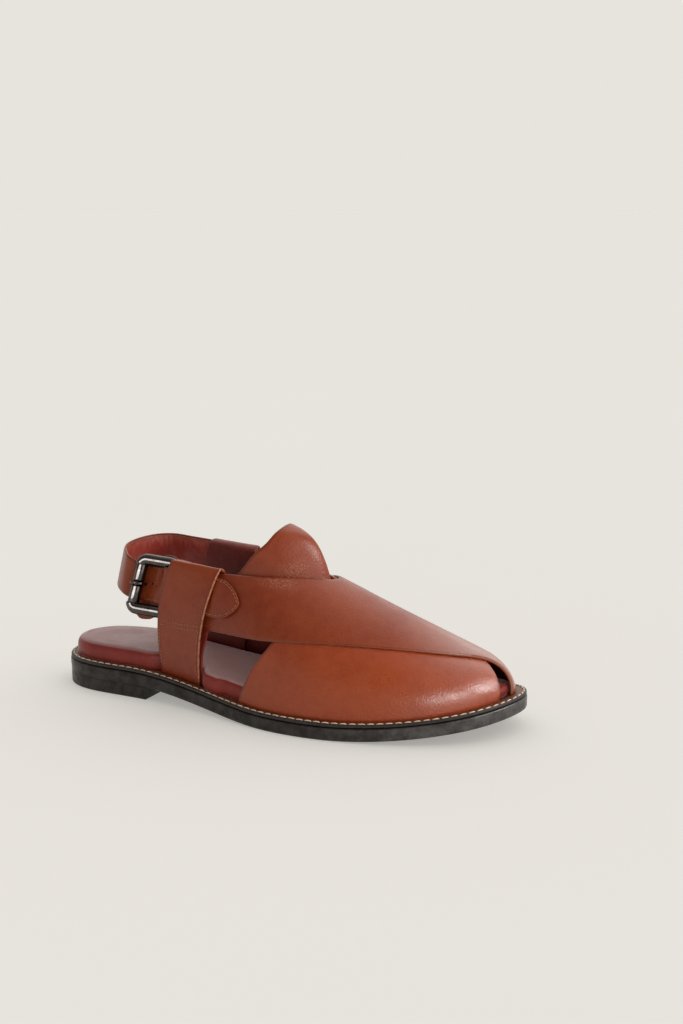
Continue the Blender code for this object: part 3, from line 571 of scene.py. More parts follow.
def stitches(name, path, normals, paint, slot, pitch, dash, radius, slant):
    """Thread dashes along a path on a surface, each diving into the leather at its ends."""
    run = run_of(path)
    count = int(round(run[-1] / pitch))
    step = run[-1] / count
    turn = turns(STITCH_SIDES)
    parts = []
    for k in range(count):
        at = np.array([(k + 0.5) * step + t * dash / 2 for t, _, _ in STITCH_RINGS])
        places = resample(path, at)
        up = unit(resample(normals, at))
        sideways = np.cross(up, unit(places[-1] - places[0]))
        rings = []
        for (t, size, height), place, normal, side in zip(STITCH_RINGS, places, up, sideways):
            centre = place + normal * height * radius + side * slant * t * dash / 2
            oval = np.outer(np.cos(turn), side) + 0.8 * np.outer(np.sin(turn), normal)
            rings.append(centre + radius * size * oval)
        parts.append((np.vstack(rings), bar_faces(len(rings), STITCH_SIDES, False)))
    piece(name, joined(parts), paint, slot)


def on_grid(grid, u, v):
    """Points and outward normals of a grid at shares u along its rows and v along its columns."""
    normal = grid_normals(grid)
    i, j = np.asarray(u) * (grid.shape[0] - 1), np.asarray(v) * (grid.shape[1] - 1)
    low_i = np.clip(i.astype(int), 0, grid.shape[0] - 2)
    low_j = np.clip(j.astype(int), 0, grid.shape[1] - 2)
    a, b = (i - low_i)[:, None], (j - low_j)[:, None]
    found = [
        data[low_i, low_j] * (1 - a) * (1 - b) + data[low_i + 1, low_j] * a * (1 - b)
        + data[low_i, low_j + 1] * (1 - a) * b + data[low_i + 1, low_j + 1] * a * b
        for data in (grid, normal)
    ]
    return found[0], found[1]


def waves(points, sizes, seed):
    """A smooth wobble of a surface, about -1 to 1, the same on each run."""
    total = np.zeros(points.shape[:-1])
    for k, size in enumerate(sizes):
        for m in range(3):
            turn = 1.7 * k + 2.3 * m + seed
            direction = np.array([math.cos(turn), math.sin(turn * 1.3), math.cos(turn * 0.7 + 1)])
            total += np.sin(points @ direction * (2 * math.pi / size) + 5.1 * turn) / (k + 1)
    return total / 3


# Sole


def sole_loop(inset, height, steps=150, end=None):
    """A closed loop on the outline moved in by inset: height is a function of x."""
    lateral, medial = two_sides(outline_inset(inset))
    first, last = lateral[0, 0], lateral[-1, 0]
    x = first + (last - first) * (1 - np.cos(np.linspace(0, math.pi, steps + 1))) / 2
    if end is not None:
        x = np.append(x[x < end - 0.3], end)
    left = np.column_stack([x, np.interp(x, *lateral.T), height(x)])
    right = np.column_stack([x, np.interp(x, *medial.T), height(x)])[::-1]
    if end is None:
        right = right[1:]
    return np.vstack([left, right[:-1]])


def loft(loops, ring=False, lids=True):
    """Points and faces through closed loops, bottom first; the first and the last are capped by strips."""
    count, levels = len(loops[0]), len(loops)
    faces = []
    for level in range(levels if ring else levels - 1):
        low, high = level * count, (level + 1) % levels * count
        for i in range(count):
            j = (i + 1) % count
            faces.append((low + i, low + j, high + j, high + i))
    if lids and not ring:
        top = (levels - 1) * count
        for i in range(count // 2):
            strip = [i, i + 1, count - i - 1, (count - i) % count]
            strip = [v for k, v in enumerate(strip) if v not in strip[:k]]
            faces.append(tuple(top + v for v in strip))
            faces.append(tuple(reversed(strip)))
    return np.vstack(loops), faces


OUTSOLE_PROFILE = (   # inset from the outline, height over the underside
    (9, 0), (7.6, 0), (7.3, 0.4), (6.3, 0.4), (6.0, 0), (1.5, 0), (0.8, 0.14), (0.3, 0.5), (0.05, 1.1),
    (0, 1.9), (0, 4.0), (0, OUTSOLE_THICK - 1.0), (0.1, OUTSOLE_THICK - 0.45), (0.45, OUTSOLE_THICK - 0.1),
    (1.1, OUTSOLE_THICK), (9, OUTSOLE_THICK),
)
HEEL_PROFILE = (   # inset, share of the way up to the outsole, height over that
    (9, 0, 0), (1.6, 0, 0), (0.9, 0, 0.12), (0.5, 0, 0.5), (0.4, 0, 1.1), (0.3, 1, -0.5),
    (0.45, 1, -0.1), (1.2, 1, 0), (9, 1, 0),
)
HEEL_REACH = 0.25 - GAP   # how far the heel stands into the gap under the outsole
HEEL_INSET = 0.3          # of the outsole's lower edge where the heel is under it


def profile_loops(profile, base, **how):
    """Loops through a profile of insets and heights over base(x)."""
    return [sole_loop(inset, lambda x, up=up: base(x) + up, **how) for inset, up in profile]


def underside(x):
    return welt_top(x) - WELT_THICK - GAP - OUTSOLE_THICK


def build_outsole(paint):
    free = smooth_step((OUTLINE_FINE[:, 0] - HEEL_LENGTH + 1) / 3)
    profile = [
        (HEEL_INSET + (inset - HEEL_INSET) * free if inset < 2 and up < 2 else inset, up)
        for inset, up in OUTSOLE_PROFILE
    ]
    piece("outsole_edge", loft(profile_loops(profile, underside)), paint, "black_sole", "outsole")


def build_heel(paint):
    loops = [
        sole_loop(
            inset, lambda x, share=share, up=up: (underside(x) + HEEL_REACH) * share + up, end=HEEL_LENGTH,
        )
        for inset, share, up in HEEL_PROFILE
    ]
    least = min(len(loop) for loop in loops)
    heel = piece("heel_block", loft([even_loop(loop, least) for loop in loops]), paint, "black_sole", "heel")
    heel.data.set_sharp_from_angle(angle=math.radians(55))


def even_loop(loop, count):
    """The loop of a heel with count points: as many on its lateral side as on its medial side."""
    half = count // 2
    middle = len(loop) // 2
    left, right = loop[:middle], np.vstack([loop[middle:], loop[:1]])
    left = resample(left, np.linspace(0, run_of(left)[-1], half))
    right = resample(right, np.linspace(0, run_of(right)[-1], count - half + 1))[:-1]
    return np.vstack([left, right])


WELT_PROFILE = (   # inset, height over the welt's underside
    (13, 0), (0.9, 0), (0.5, 0.2), (0.32, 0.6), (0.3, 1.0), (0.32, 1.4), (0.5, 1.8), (0.85, 1.98),
    (1.5, 1.97), (1.95, 1.72), (2.4, 1.95), (2.8, 2.0), (5, 2.0), (13, 2.0),
)
WELT_RIM = range(1, 8)    # the profile's rows on the dark outer side
GROOVE_INSET = 1.95       # the stitches lie in the groove


def build_welt(paint, rim):
    loops = profile_loops(WELT_PROFILE, lambda x: welt_top(x) - WELT_THICK, steps=220)
    side = np.repeat([k in WELT_RIM for k in range(len(loops))], len(loops[0]))
    welt = new_object("welt_strip", *loft(loops, ring=True), [paint, rim], side)
    declare(welt, "welt_leather", "welt")


def build_welt_stitches(paint):
    loop = sole_loop(GROOVE_INSET, lambda x: welt_top(x) - 0.05, steps=400)
    path = np.vstack([loop, loop[:1]])
    normals = np.tile((0.0, 0.0, 1.0), (len(path), 1))
    stitches("welt_stitches", path, normals, paint, "welt_leather", **WELT_THREAD)


# Footbed


FOOTBED_PROFILE = (   # inset, share of the thickness
    (2.4, 0.0), (0.7, 0.0), (0.3, 0.07), (0.08, 0.18), (0.0, 0.36), (0.02, 0.52), (0.25, 0.68), (0.75, 0.81),
    (1.6, 0.905), (2.9, 0.965), (4.6, 1.0),
)


def footbed_thickness(x):
    return FOOTBED_HEEL + (FOOTBED_TOE - FOOTBED_HEEL) * smooth_step((x - 150) / 60)


def footbed_rise(x, share):
    """The top's shape across: a little crown, and a shallow seat under the heel."""
    across = 2 * share - 1
    pad = 0.5 * (1 - across ** 4)
    seat = -1.3 * hump(x, 42, 38) * (1 - across ** 2)
    ball = -0.5 * hump(x, 205, 60) * (1 - across ** 2)
    return pad + seat + ball


def footbed_inset():
    """How far inside the sole's outline the footbed's side stands: it tucks in beside the keepers."""
    along = OUTLINE_FINE[:, 0]
    medial = OUTLINE_FINE[:, 1] > 0
    wide_to, tucked_to = np.where(medial, 84, 127), np.where(medial, 132, 113)
    wider = FOOTBED_WIDER + FOOTBED_WIDER_AHEAD * smooth_step((along - 108) / 8)
    return (
        FOOTBED_INSET - 0.6 * smooth_step((30 - along) / 30) - wider * smooth_step((wide_to - along) / 5)
        + FOOTBED_TUCK * smooth_step((along - 68) / 12) * smooth_step((tucked_to - along) / 8)
        + FOOTBED_TOE_TUCK * smooth_step((along - 235) / 50)
    )


def footbed_mesh():
    base = footbed_inset()
    loops = [
        sole_loop(base + inset, lambda x, up=up: welt_top(x) + 0.1 + up * footbed_thickness(x))
        for inset, up in FOOTBED_PROFILE
    ]
    points, faces = loft(loops, lids=False)
    half = len(loops[0]) // 2
    share = np.linspace(0, 1, 41)[None, :, None]
    for loop, top in ((loops[-1], True), (loops[0], False)):
        left = loop[:half + 1][:, None]
        right = np.vstack([loop[:1], loop[:half - 1:-1]])[:, None]
        cap = left + (right - left) * share
        if top:
            cap[..., 2] += footbed_rise(cap[..., 0], share[..., 0])
        face = quads(*cap.shape[:2]) + len(points)
        faces += [tuple(f) for f in (face if top else face[:, ::-1])]
        points = np.vstack([points, cap.reshape(-1, 3)])
    return points, faces


def build_footbed(paint):
    footbed = piece("footbed_cushion", footbed_mesh(), paint, "oxblood_leather", "footbed")
    weld(footbed)
    fill_pad(footbed)


def coordinates(mesh):
    points = np.empty(len(mesh.vertices) * 3)
    mesh.vertices.foreach_get("co", points)
    return points.reshape(-1, 3)


def apply_modifiers(obj):
    bpy.context.view_layer.update()
    done = bpy.data.meshes.new_from_object(obj.evaluated_get(bpy.context.evaluated_depsgraph_get()))
    obj.modifiers.clear()
    obj.data = done


def swell(pad):
    """Fills a coarse copy of the cushion by cloth simulation: its points before, and how they move."""
    coarse = pad.copy()
    coarse.data = pad.data.copy()
    bpy.context.scene.collection.objects.link(coarse)
    remesh = coarse.modifiers.new("remesh", "REMESH")
    remesh.mode = "VOXEL"
    remesh.voxel_size = PAD_VOXEL * MM
    apply_modifiers(coarse)
    before = coordinates(coarse.data)
    own = (before - ORIGIN) / MM
    share = (own[:, 2] - welt_top(own[:, 0])) / footbed_thickness(own[:, 0])
    held = coarse.vertex_groups.new(name="held")
    held.add([int(k) for k in np.flatnonzero(share < PAD_HELD)], 1.0, "REPLACE")
    cloth = coarse.modifiers.new("filling", "CLOTH")
    cloth.settings.quality = PAD_STEPS
    cloth.settings.mass = PAD_MASS
    cloth.settings.vertex_group_mass = held.name
    cloth.settings.use_pressure = True
    cloth.settings.uniform_pressure_force = PAD_PRESSURE
    cloth.settings.effector_weights.gravity = 0.0
    cloth.point_cache.frame_start = 1
    cloth.point_cache.frame_end = PAD_FRAMES
    for frame_number in range(1, PAD_FRAMES + 1):
        bpy.context.scene.frame_set(frame_number)
    apply_modifiers(coarse)
    bpy.context.scene.frame_set(1)
    move = coordinates(coarse.data) - before
    mesh = coarse.data
    bpy.data.objects.remove(coarse)
    bpy.data.meshes.remove(mesh)
    return before, move


def fill_pad(pad):
    """Moves the cushion as its simulated copy moved, each point with the mean of the points near it."""
    before, move = swell(pad)
    length = np.linalg.norm(move, axis=1, keepdims=True)
    move *= np.minimum(1, PAD_MOST * MM / np.maximum(length, 1e-9))
    tree = KDTree(len(before))
    for k, point in enumerate(before):
        tree.insert(point, k)
    tree.balance()
    points = coordinates(pad.data)
    for k, point in enumerate(points):
        near = tree.find_n(point, PAD_NEAR)
        weights = np.array([1 / (away + 2 * MM) ** 2 for _, _, away in near])
        points[k] += (move[[index for _, index, _ in near]] * weights[:, None]).sum(axis=0) / weights.sum()
    pad.data.vertices.foreach_set("co", points.ravel())
    pad.data.update()


def weld(obj):
    """Joins the points where strips meet, and drops faces that this flattens."""
    data = bmesh.new()
    data.from_mesh(obj.data)
    bmesh.ops.remove_doubles(data, verts=data.verts, dist=WELD_WITHIN)
    bmesh.ops.dissolve_degenerate(data, dist=WELD_WITHIN / 10, edges=data.edges)
    data.to_mesh(obj.data)
    data.free()


# Bands


def over_lift(forward, across):
    """How far the over-band stands off the last: proud over the under-band, down on it elsewhere."""
    radius = np.hypot(forward, across)
    medial = smooth_step((across + 0.12) / 0.1) * smooth_step((radius - 0.76) / 0.2)
    rear = smooth_step((0.33 - forward) / 0.2) * smooth_step((-across - 0.1) / 0.2)
    return OVER_LIFT * (1 - medial) * (1 - rear)


def crackle_near(grid, place, reach):
    """How near, from 0 to 1, a point lies to a patch of crazing and painted glints."""
    away = np.linalg.norm((grid - place) / reach, axis=-1)
    return smooth_step(1 - away)


def build_bands(hide):
    grids = []
    for front, rear, lift in ((OVER_FRONT, OVER_REAR, over_lift), (UNDER_FRONT, UNDER_REAR, None)):
        forward, across = np.moveaxis(band_pattern(front, rear, *BAND_GRID), -1, 0)
        grids.append(off_last(*wrap(forward, across), lift(forward, across) if lift else 0 * forward))
    over, under = grids[0][:, ::-1], grids[1]
    crackle_and_glints = crackle_near(over, *BAND_CRACKLE_GLINTS)
    hide_piece("over_band", "upper", over, OVER_THICK, hide, roll=0.45, roll_width=2.2, crackle_and_glints=crackle_and_glints)
    hide_piece("under_band", "upper", under, BAND_THICK, hide, crackle_and_glints=0 * under[..., 0])


# Tongue


def behind_bands(x, angle):
    """How far, in the pattern, a point lies behind the bands' upper edges."""
    line = edge_line(UNDER_REAR, 300)
    forward, across = flat_from(x, angle)
    return np.interp(np.abs(across), line[:, 1], line[:, 0]) - TONGUE_CLEAR - forward


def on_tongue(x, angle):
    """The last, with the tongue rising off it behind the bands' upper edges."""
    point = np.array(on_last(x, angle))
    share = np.clip(behind_bands(x, angle) / TONGUE_RISE_RUN, 0, 1)
    point[..., 2] += TONGUE_RISE * (1 - (1 - share) ** 3.3)
    return point


def build_tongue(hide):
    widest = math.radians(TONGUE_EDGE["angle"][-1])
    angle = np.linspace(-widest, widest, TONGUE_COLUMNS)
    rear_edge = through(np.degrees(angle) ** 2, np.square(TONGUE_EDGE["angle"]), TONGUE_EDGE["x"])
    fine = np.linspace(TONGUE_FRONT, rear_edge.min(), 1200)
    emerges = fine[np.argmax(behind_bands(fine[:, None], angle) > 0, axis=0)]
    emerges = np.maximum(emerges, rear_edge + 1.0)
    rear = rear_edge + (emerges - rear_edge) * np.linspace(0, 1, TONGUE_ROWS)[:, None] ** 1.3
    front = emerges + (TONGUE_FRONT - emerges) * np.linspace(0, 1, TONGUE_HIDDEN_ROWS + 1)[1:, None]
    x = np.vstack([rear, front])
    grid = off_last(x, angle + 0 * x, -BAND_THICK - TONGUE_GAP + 0 * x, on_tongue)
    tip = smooth_step(1 - np.arange(len(grid)) / 36)[:, None]
    soft = 0.5 * (0.02 + 0.98 * tip * hump(angle, 0, math.radians(26)))[:, 1:-1, None]
    for _ in range(TONGUE_SMOOTHINGS):
        grid[:, 1:-1] += soft * ((grid[:, :-2] + grid[:, 2:]) / 2 - grid[:, 1:-1])
    crackle_and_glints = crackle_near(grid, *TONGUE_CRACKLE_GLINTS)
    hide_piece("tongue_flap", "tongue", grid, TONGUE_THICK, hide, crackle_and_glints=crackle_and_glints)


# Keepers


def keeper_line(share, side, tops):
    """One line of a keeper's outer skin, from the welt up its outside, over the fold and down inside."""
    within = KEEPER_IN if side < 0 else KEEPER_IN_MEDIAL
    depth = np.array(KEEPER_DEPTH if side < 0 else KEEPER_DEPTH_MEDIAL)
    foot = KEEPER_REAR + (KEEPER_FRONT - KEEPER_REAR) * share
    top = tops[0] + (tops[1] - tops[0]) * share
    base = welt_top(foot) + 0.05
    lean = KEEPER_REAR_LEAN + (KEEPER_FRONT_LEAN - KEEPER_REAR_LEAN) * share
    x = foot + lean * KEEPER_RISE ** (3.0 - 1.6 * share)
    z = base + KEEPER_RISE * (top - FOLD_HIGH - base)
    inside = np.full(len(KEEPER_RISE), within)
    if side < 0:
        inside += (KEEPER_DEEP - KEEPER_IN) * smooth_step((103.0 - x) / 10.0)
    else:
        inside -= KEEPER_OVER_BAND
    inner = np.concatenate([KEEPER_FOOT_IN, [within], within + (inside[4:] - within) * depth])
    outside, foot_side = beside(x, z, side, KEEPER_OUT), beside(x, z, side, inner)
    middle, reach = (outside[-1] + foot_side[-1]) / 2, (outside[-1] - foot_side[-1]) / 2
    fold = [
        middle + reach * math.cos(turn) + np.array((0, 0, FOLD_HIGH)) * math.sin(turn)
        for turn in np.radians((25, 55, 90, 125, 155))
    ]
    return smooth_path(np.vstack([outside, fold, foot_side[::-1]]), KEEPER_GRID[1])


def build_keeper(name, side, tops, hide):
    """A strap folded double. Its grid's rows run from rear to front on the lateral side."""
    grid = np.array([keeper_line(share, side, tops) for share in dense_ends(KEEPER_GRID[0])])
    if side > 0:
        grid = grid[::-1]
    past_top = 3 if side < 0 else 0
    lined = np.arange(grid.shape[1]) > grid[len(grid) // 2, :, 2].argmax() + past_top
    hide_piece(
        "keeper_loop_" + name, "keeper_" + name, grid, KEEPER_THICK, hide, bulge=0.35, roll=0.3, lined=lined,
    )
    return grid


def build_keeper_edge(name, grid, side, paint):
    """The turned edge of the keeper's front, down its outer face, in a light colour that is a painted
    highlight.
    """
    row = -1 if side < 0 else 0
    line, normal = grid[row], grid_normals(grid)[row]
    last = line[:, 2].argmax() + (6 if side < 0 else -4)
    path = line[2:last] - normal[2:last] * 0.35
    path = resample(path, np.linspace(0, run_of(path)[-1], 120))
    piece("keeper_edge_" + name, tube(path, np.full(len(path), 0.55), 12), paint, "cognac_leather")


# Strap


BUCKLE_AXES = np.array([BUCKLE_ALONG, BUCKLE_UP, unit(np.cross(BUCKLE_ALONG, BUCKLE_UP))])


def in_buckle(along, up, out):
    """A point in the buckle's own axes."""
    return np.array(BUCKLE_AT) + np.array([along, up, out], float).T @ BUCKLE_AXES


def strap_edge(sign):
    """The strap's upper (1) or lower (-1) edge, from the medial keeper round the heel to the tail."""
    def half(table):
        return sign * np.array(table["width"], float) / 2

    def on_side(table, side):
        return beside(table["x"], table["z"] + half(table), side, table["out"])

    middle = np.column_stack([STRAP_HEEL["x"], STRAP_HEEL["y"]]).astype(float)
    away = unit(middle - HEEL_CENTRE)
    inward = np.tan(np.radians(STRAP_HEEL["lean"])) * half(STRAP_HEEL)
    heel = np.column_stack([middle - away * inward[:, None], STRAP_HEEL["z"] + half(STRAP_HEEL)])
    window = in_buckle(STRAP_WINDOW["along"], STRAP_WINDOW["up"] + half(STRAP_WINDOW), STRAP_WINDOW["out"])
    return np.vstack([on_side(STRAP_MEDIAL, 1), heel, window, on_side(STRAP_LATERAL, -1)])


def strap_grid():
    """Rows from the medial keeper to the tail's tip, columns from the lower edge to the upper edge."""
    low, high = [smooth_path(strap_edge(sign), STRAP_GRID[0]) for sign in (-1, 1)]
    across = dense_ends(STRAP_GRID[1])
    start = {key: STRAP_LATERAL[key][-1] for key in STRAP_LATERAL}
    tail = []
    for share in np.sin(np.linspace(0, 1, TAIL_ROWS + 1)[1:] * math.pi / 2):
        x, z, out = (start[key] + (TAIL_TIP[key] - start[key]) * share for key in ("x", "z", "out"))
        reach = max(start["width"] / 2 * (1 - share ** 2.4) ** 0.75, 0.5)
        tail.append(beside(x, z + (2 * across - 1) * reach, -1, out))
    return np.vstack([low[:, None] + (high - low)[:, None] * across[None, :, None], np.array(tail)])


def build_strap(hide):
    grid = strap_grid()
    strap = hide_piece("heel_strap_outer", "heel_strap", grid, STRAP_THICK, hide, bulge=0.3, roll=0.3)
    for number, (along, up, radius) in enumerate(HOLES):
        punch(strap, along, up, radius)
        build_hole_rim(f"strap_hole_rim_{number}", grid, along, up, radius + RIM_OUT, hide[1])
    return grid


def build_hole_rim(name, grid, along, up, radius, paint):
    """The pressed rim round a hole, on the strap's outer face."""
    turn = turns(HOLE_SIDES)
    flat = in_buckle(along + radius * np.cos(turn), up + radius * np.sin(turn), 0 * turn)
    way = BUCKLE_AXES[2]
    off = grid.reshape(-1, 3)[None] - flat[:, None]
    depth = off @ way
    aside = np.linalg.norm(off - depth[..., None] * way, axis=-1)
    near = np.argsort(aside, axis=1)[:, :4]
    weight = 1 / (np.take_along_axis(aside, near, 1) + 0.05)
    out = (np.take_along_axis(depth, near, 1) * weight).sum(1) / weight.sum(1)
    mesh = tube(flat + way * out[:, None], np.full(HOLE_SIDES, RIM_RADIUS), 8, closed=True)
    piece(name, mesh, paint, "cognac_leather")


def punch(strap, along, up, radius):
    """Cuts a round hole through the strap."""
    bar = tube([in_buckle(along, up, out) for out in (-9, -3, 4)], [radius] * 3, HOLE_SIDES)
    cutter = new_object("hole_cutter", *bar, [])
    hole = strap.modifiers.new("hole", "BOOLEAN")
    hole.operation = "DIFFERENCE"
    hole.solver = "EXACT"
    hole.object = cutter
    apply_modifiers(strap)
    bpy.data.objects.remove(cutter)


def crease_depths(along, share):
    """Short upright creases below the lining's upper edge, over a grid of lengths along and shares up."""
    total = np.zeros((len(along), share.shape[1]))
    for k in range(CREASES):
        centre = along[-1, 0] * (k + 0.5 + 0.35 * math.sin(k * 7.3)) / CREASES
        depth = 0.20 + 0.30 * (0.5 + 0.5 * math.sin(k * 3.7 + 1))
        reach = 0.18 + 0.22 * (0.5 + 0.5 * math.sin(k * 5.1))
        drift = centre + (1 - share) * 3 * math.sin(k * 2.9)
        line = np.exp(-((along - drift) / 0.95) ** 2)
        total += depth * line * smooth_step((share - 1 + reach) / 0.2)
    return total * smooth_step((1 - share) / 0.05)


def build_strap_lining(grid, paint):
    """The padded lining inside the strap, gathered in creases."""
    rows, columns = int(np.argmax(grid[:, 0, 1] < LINING_TO_Y)), LINING_COLUMNS
    inner = grid[:rows] - grid_normals(grid[:rows]) * STRAP_THICK
    share = (0.02 + 0.96 * np.linspace(0, 1, columns))[None]
    low, high = inner[:, 0], inner[:, -1]
    along = run_of((low + high) / 2)[:, None]
    end = smooth_step(along / 6) * smooth_step((along[-1] - along) / 6)
    base = low[:, None] + (high - low)[:, None] * share[..., None]
    pad = LINING_PAD * (1 - np.abs(2 * share - 1) ** 3.2) ** 0.6
    crease = crease_depths(along, share)
    depth = (pad + 0.12 * waves(base, (26.0, 11.0, 6.0), 2.0) - crease) * end
    inward = base - grid_normals(base) * np.maximum(depth, 0.02)[..., None]
    total = rows * columns
    face, ring = quads(rows, columns), perimeter(rows, columns)
    side = np.column_stack([ring, np.roll(ring, -1), total + np.roll(ring, -1), total + ring])
    # fold and top carry painted light into the lining's colour: highlights on the ridges of the creases and a
    # sheen along the upper band.
    values = {
        "fold": np.clip(crease / 0.35, 0, 1) * end,
        "top": smooth_step((share - 0.72) / 0.2),
        "lip": smooth_step((share - 0.90) / 0.03),
    }
    values = {key: np.tile(np.broadcast_to(data, (rows, columns)).ravel(), 2) for key, data in values.items()}
    points = np.concatenate([inward.reshape(-1, 3), base.reshape(-1, 3)])
    faces = np.vstack([face[:, ::-1], total + face, side])
    lining = new_object("heel_strap_lining", points, faces, [paint], values=values)
    declare(lining, "oxblood_leather", "heel_strap")


def surface_stitches(name, grid, corners, paint, thread):
    """A row of stitches over a grid, through corners given as shares along its rows and columns."""
    line = smooth_path(np.array(corners, float), 200) if len(corners) > 2 else np.linspace(*corners, 200)
    path, normals = on_grid(grid, line[:, 0], line[:, 1])
    stitches(name, path + normals * 0.05, normals, paint, "cognac_leather", **thread)


def build_keeper_stitches(name, grid, side, paint):
    """Two rows across, over the strap's lower end, and one down each side of the keeper."""
    rear, front = (0.09, 0.91) if side < 0 else (0.91, 0.09)

    def corner(share, z):
        line = grid[int(share * (grid.shape[0] - 1))]
        fold = line[:, 2].argmax()
        return share, float(np.interp(z, line[:fold, 2], np.arange(fold))) / (grid.shape[1] - 1)

    rows = (
        (corner(rear, 52.0), corner(front, 52.5)), (corner(rear, 49.4), corner(front, 49.9)),
        (corner(rear, 49.4), corner(rear, 24.0)), (corner(front, 49.9), corner(front, 21.0)),
    )
    for k, corners in enumerate(rows):
        surface_stitches(f"keeper_stitches_{name}_{k}", grid, corners, paint, KEEPER_THREAD)


def build_strap_stitches(grid, paint):
    """Along both edges in the buckle's window and round the tail's point."""
    rows = len(grid)
    across = np.linalg.norm(grid[:, -1] - grid[:, 0], axis=1)
    start = int(np.argmax((grid[:, 0, 0] > 66) & (grid[:, 0, 1] < -20)))
    for upper, label in ((False, "low"), (True, "high")):
        line = []
        for row in np.linspace(start, rows - 6, 24):
            share = 2.0 / max(across[int(row)], 4.5)
            line.append((row / (rows - 1), 1 - share if upper else share))
        surface_stitches("strap_stitches_" + label, grid, line, paint, STRAP_THREAD)


# Buckle


def buckle_path():
    """The frame's bar in the buckle's plane: a rectangle with round corners."""
    half, corner = ARM_SPAN / 2, BUCKLE_CORNER
    near, far = corner - CORNER_BACK, BUCKLE_LENGTH - corner
    centres = ((far, half - corner), (near, half - corner), (near, corner - half), (far, corner - half))
    path = []
    for quarter, (along, up) in enumerate(centres):
        for step in range(11):
            turn = math.radians(90 * quarter + 9 * step)
            path.append((along + corner * math.cos(turn), up + corner * math.sin(turn)))
        following = centres[(quarter + 1) % 4]
        turn = math.radians(90 * (quarter + 1))
        begin = np.array(path[-1])
        finish = np.array(following) + corner * np.array([math.cos(turn), math.sin(turn)])
        path += [tuple(begin + (finish - begin) * share) for share in np.linspace(0, 1, 14)[1:-1]]
    return np.array(path)


def build_buckle_bars(steel):
    """The frame: thick arms, and thin bars for the roller and in the keeper's fold."""
    path = buckle_path()
    arm = smooth_step((np.abs(path[:, 1]) - ARM_SPAN / 2 + BUCKLE_CORNER + 0.6) / 1.7)
    arm = arm * smooth_step((BUCKLE_LENGTH - path[:, 0]) / 7.0)
    radii = BAR_RADIUS + (ARM_RADIUS - BAR_RADIUS) * arm
    mesh = tube(in_buckle(path[:, 0], path[:, 1], 0 * arm), radii, 24, closed=True)
    piece("buckle_bars", mesh, steel, "gunmetal", "buckle_frame")


def build_roller(steel):
    """A sleeve on the bar away from the keeper, with a groove where the prong rests."""
    half, size, inner = ROLLER_HALF, ROLLER_RADIUS, BAR_RADIUS + GAP
    below = [
        (-half + 0.5, inner), (-half, inner + 0.3), (-half, size - 0.5), (-half + 0.15, size - 0.15),
        (-half + 0.5, size), (-6, size), (-2.2, size), (-1.7, size - 0.15), (-1.1, GROOVE_RADIUS),
    ]
    profile = below + [(-up, radius) for up, radius in reversed(below)]
    turn = turns(ROLLER_SIDES)
    rings = [
        in_buckle(radius * np.cos(turn), np.full(ROLLER_SIDES, up), -radius * np.sin(turn))
        for up, radius in profile
    ]
    count = ROLLER_SIDES * len(rings)
    faces = []
    for ring in range(0, count, ROLLER_SIDES):
        for k in range(ROLLER_SIDES):
            low, high = ring + k, ring + (k + 1) % ROLLER_SIDES
            faces.append((low, high, (high + ROLLER_SIDES) % count, (low + ROLLER_SIDES) % count))
    piece("buckle_roller_sleeve", (np.vstack(rings), faces), steel, "gunmetal", "buckle_roller")


PRONG_BEND = (   # along and out, from the eye on the hinge bar, behind the strap, to the hole
    (21.0, -2.7), (15.5, -3.5), (11.5, -5.0), (8.0, -6.6), (6.0, -7.2), (4.7, -6.5), (4.2, -5.0),
    (4.15, -3.0), (4.1, -1.2),
)


def build_prong(steel):
    """The prong: an eye round the hinge bar, down through the strap and over the roller."""
    eye = BAR_RADIUS + GAP + PRONG_RADIUS
    reach = GROOVE_RADIUS + GAP + PRONG_RADIUS + 0.1
    path = [
        (BUCKLE_LENGTH + eye * math.sin(turn), -eye * math.cos(turn))
        for turn in np.radians(np.arange(300, -1, -25))
    ]
    path += PRONG_BEND
    path += [(reach * math.cos(turn), reach * math.sin(turn)) for turn in np.radians(range(5, 156, 25))]
    path = smooth_path(path, 110)
    mesh = tube(in_buckle(path[:, 0], 0 * path[:, 0], path[:, 1]), [PRONG_RADIUS] * len(path), 18)
    piece("buckle_tongue_pin", mesh, steel, "gunmetal", "buckle_prong")


def build_guard(hide):
    """The rounded flap behind the buckle."""
    rows, columns = GUARD_GRID
    along = np.linspace(GUARD["along"][0], GUARD["along"][-1], rows)
    low, high = (through(along, GUARD["along"], GUARD[key]) for key in ("low", "high"))
    out = through(along, GUARD_OUT["along"], GUARD_OUT["out"])
    up = low[:, None] + (high - low)[:, None] * dense_ends(columns)
    grid = np.array([
        in_buckle(np.full(columns, a), u, np.full(columns, o)) for a, u, o in zip(along, up, out)
    ])
    hide_piece("buckle_guard_flap", "buckle_guard", grid, GUARD_THICK, hide, bulge=0.3)


# Materials


class Nodes:
    """Shader nodes, made one after another."""

    def __init__(self, tree):
        self.nodes = tree.nodes
        self.links = tree.links

    def node(self, kind, inputs=None, **settings):
        made = self.nodes.new("ShaderNode" + kind)
        for key, value in settings.items():
            setattr(made, key, value)
        for key, value in (inputs or {}).items():
            self.put(made.inputs[key], value)
        return made

    def put(self, socket, value):
        if isinstance(value, bpy.types.NodeSocket):
            self.links.new(value, socket)
        else:
            socket.default_value = value

    def span(self, value, low, high, to_low=0.0, to_high=1.0, kind="SMOOTHSTEP"):
        made = self.node("MapRange", {
            "Value": value, "From Min": low, "From Max": high, "To Min": to_low, "To Max": to_high,
        }, interpolation_type=kind)
        return made.outputs[0]

    def times(self, first, second):
        return self.node("Math", {0: first, 1: second}, operation="MULTIPLY").outputs[0]

    def axis(self, vector, name):
        return self.node("SeparateXYZ", {"Vector": vector}).outputs[name]


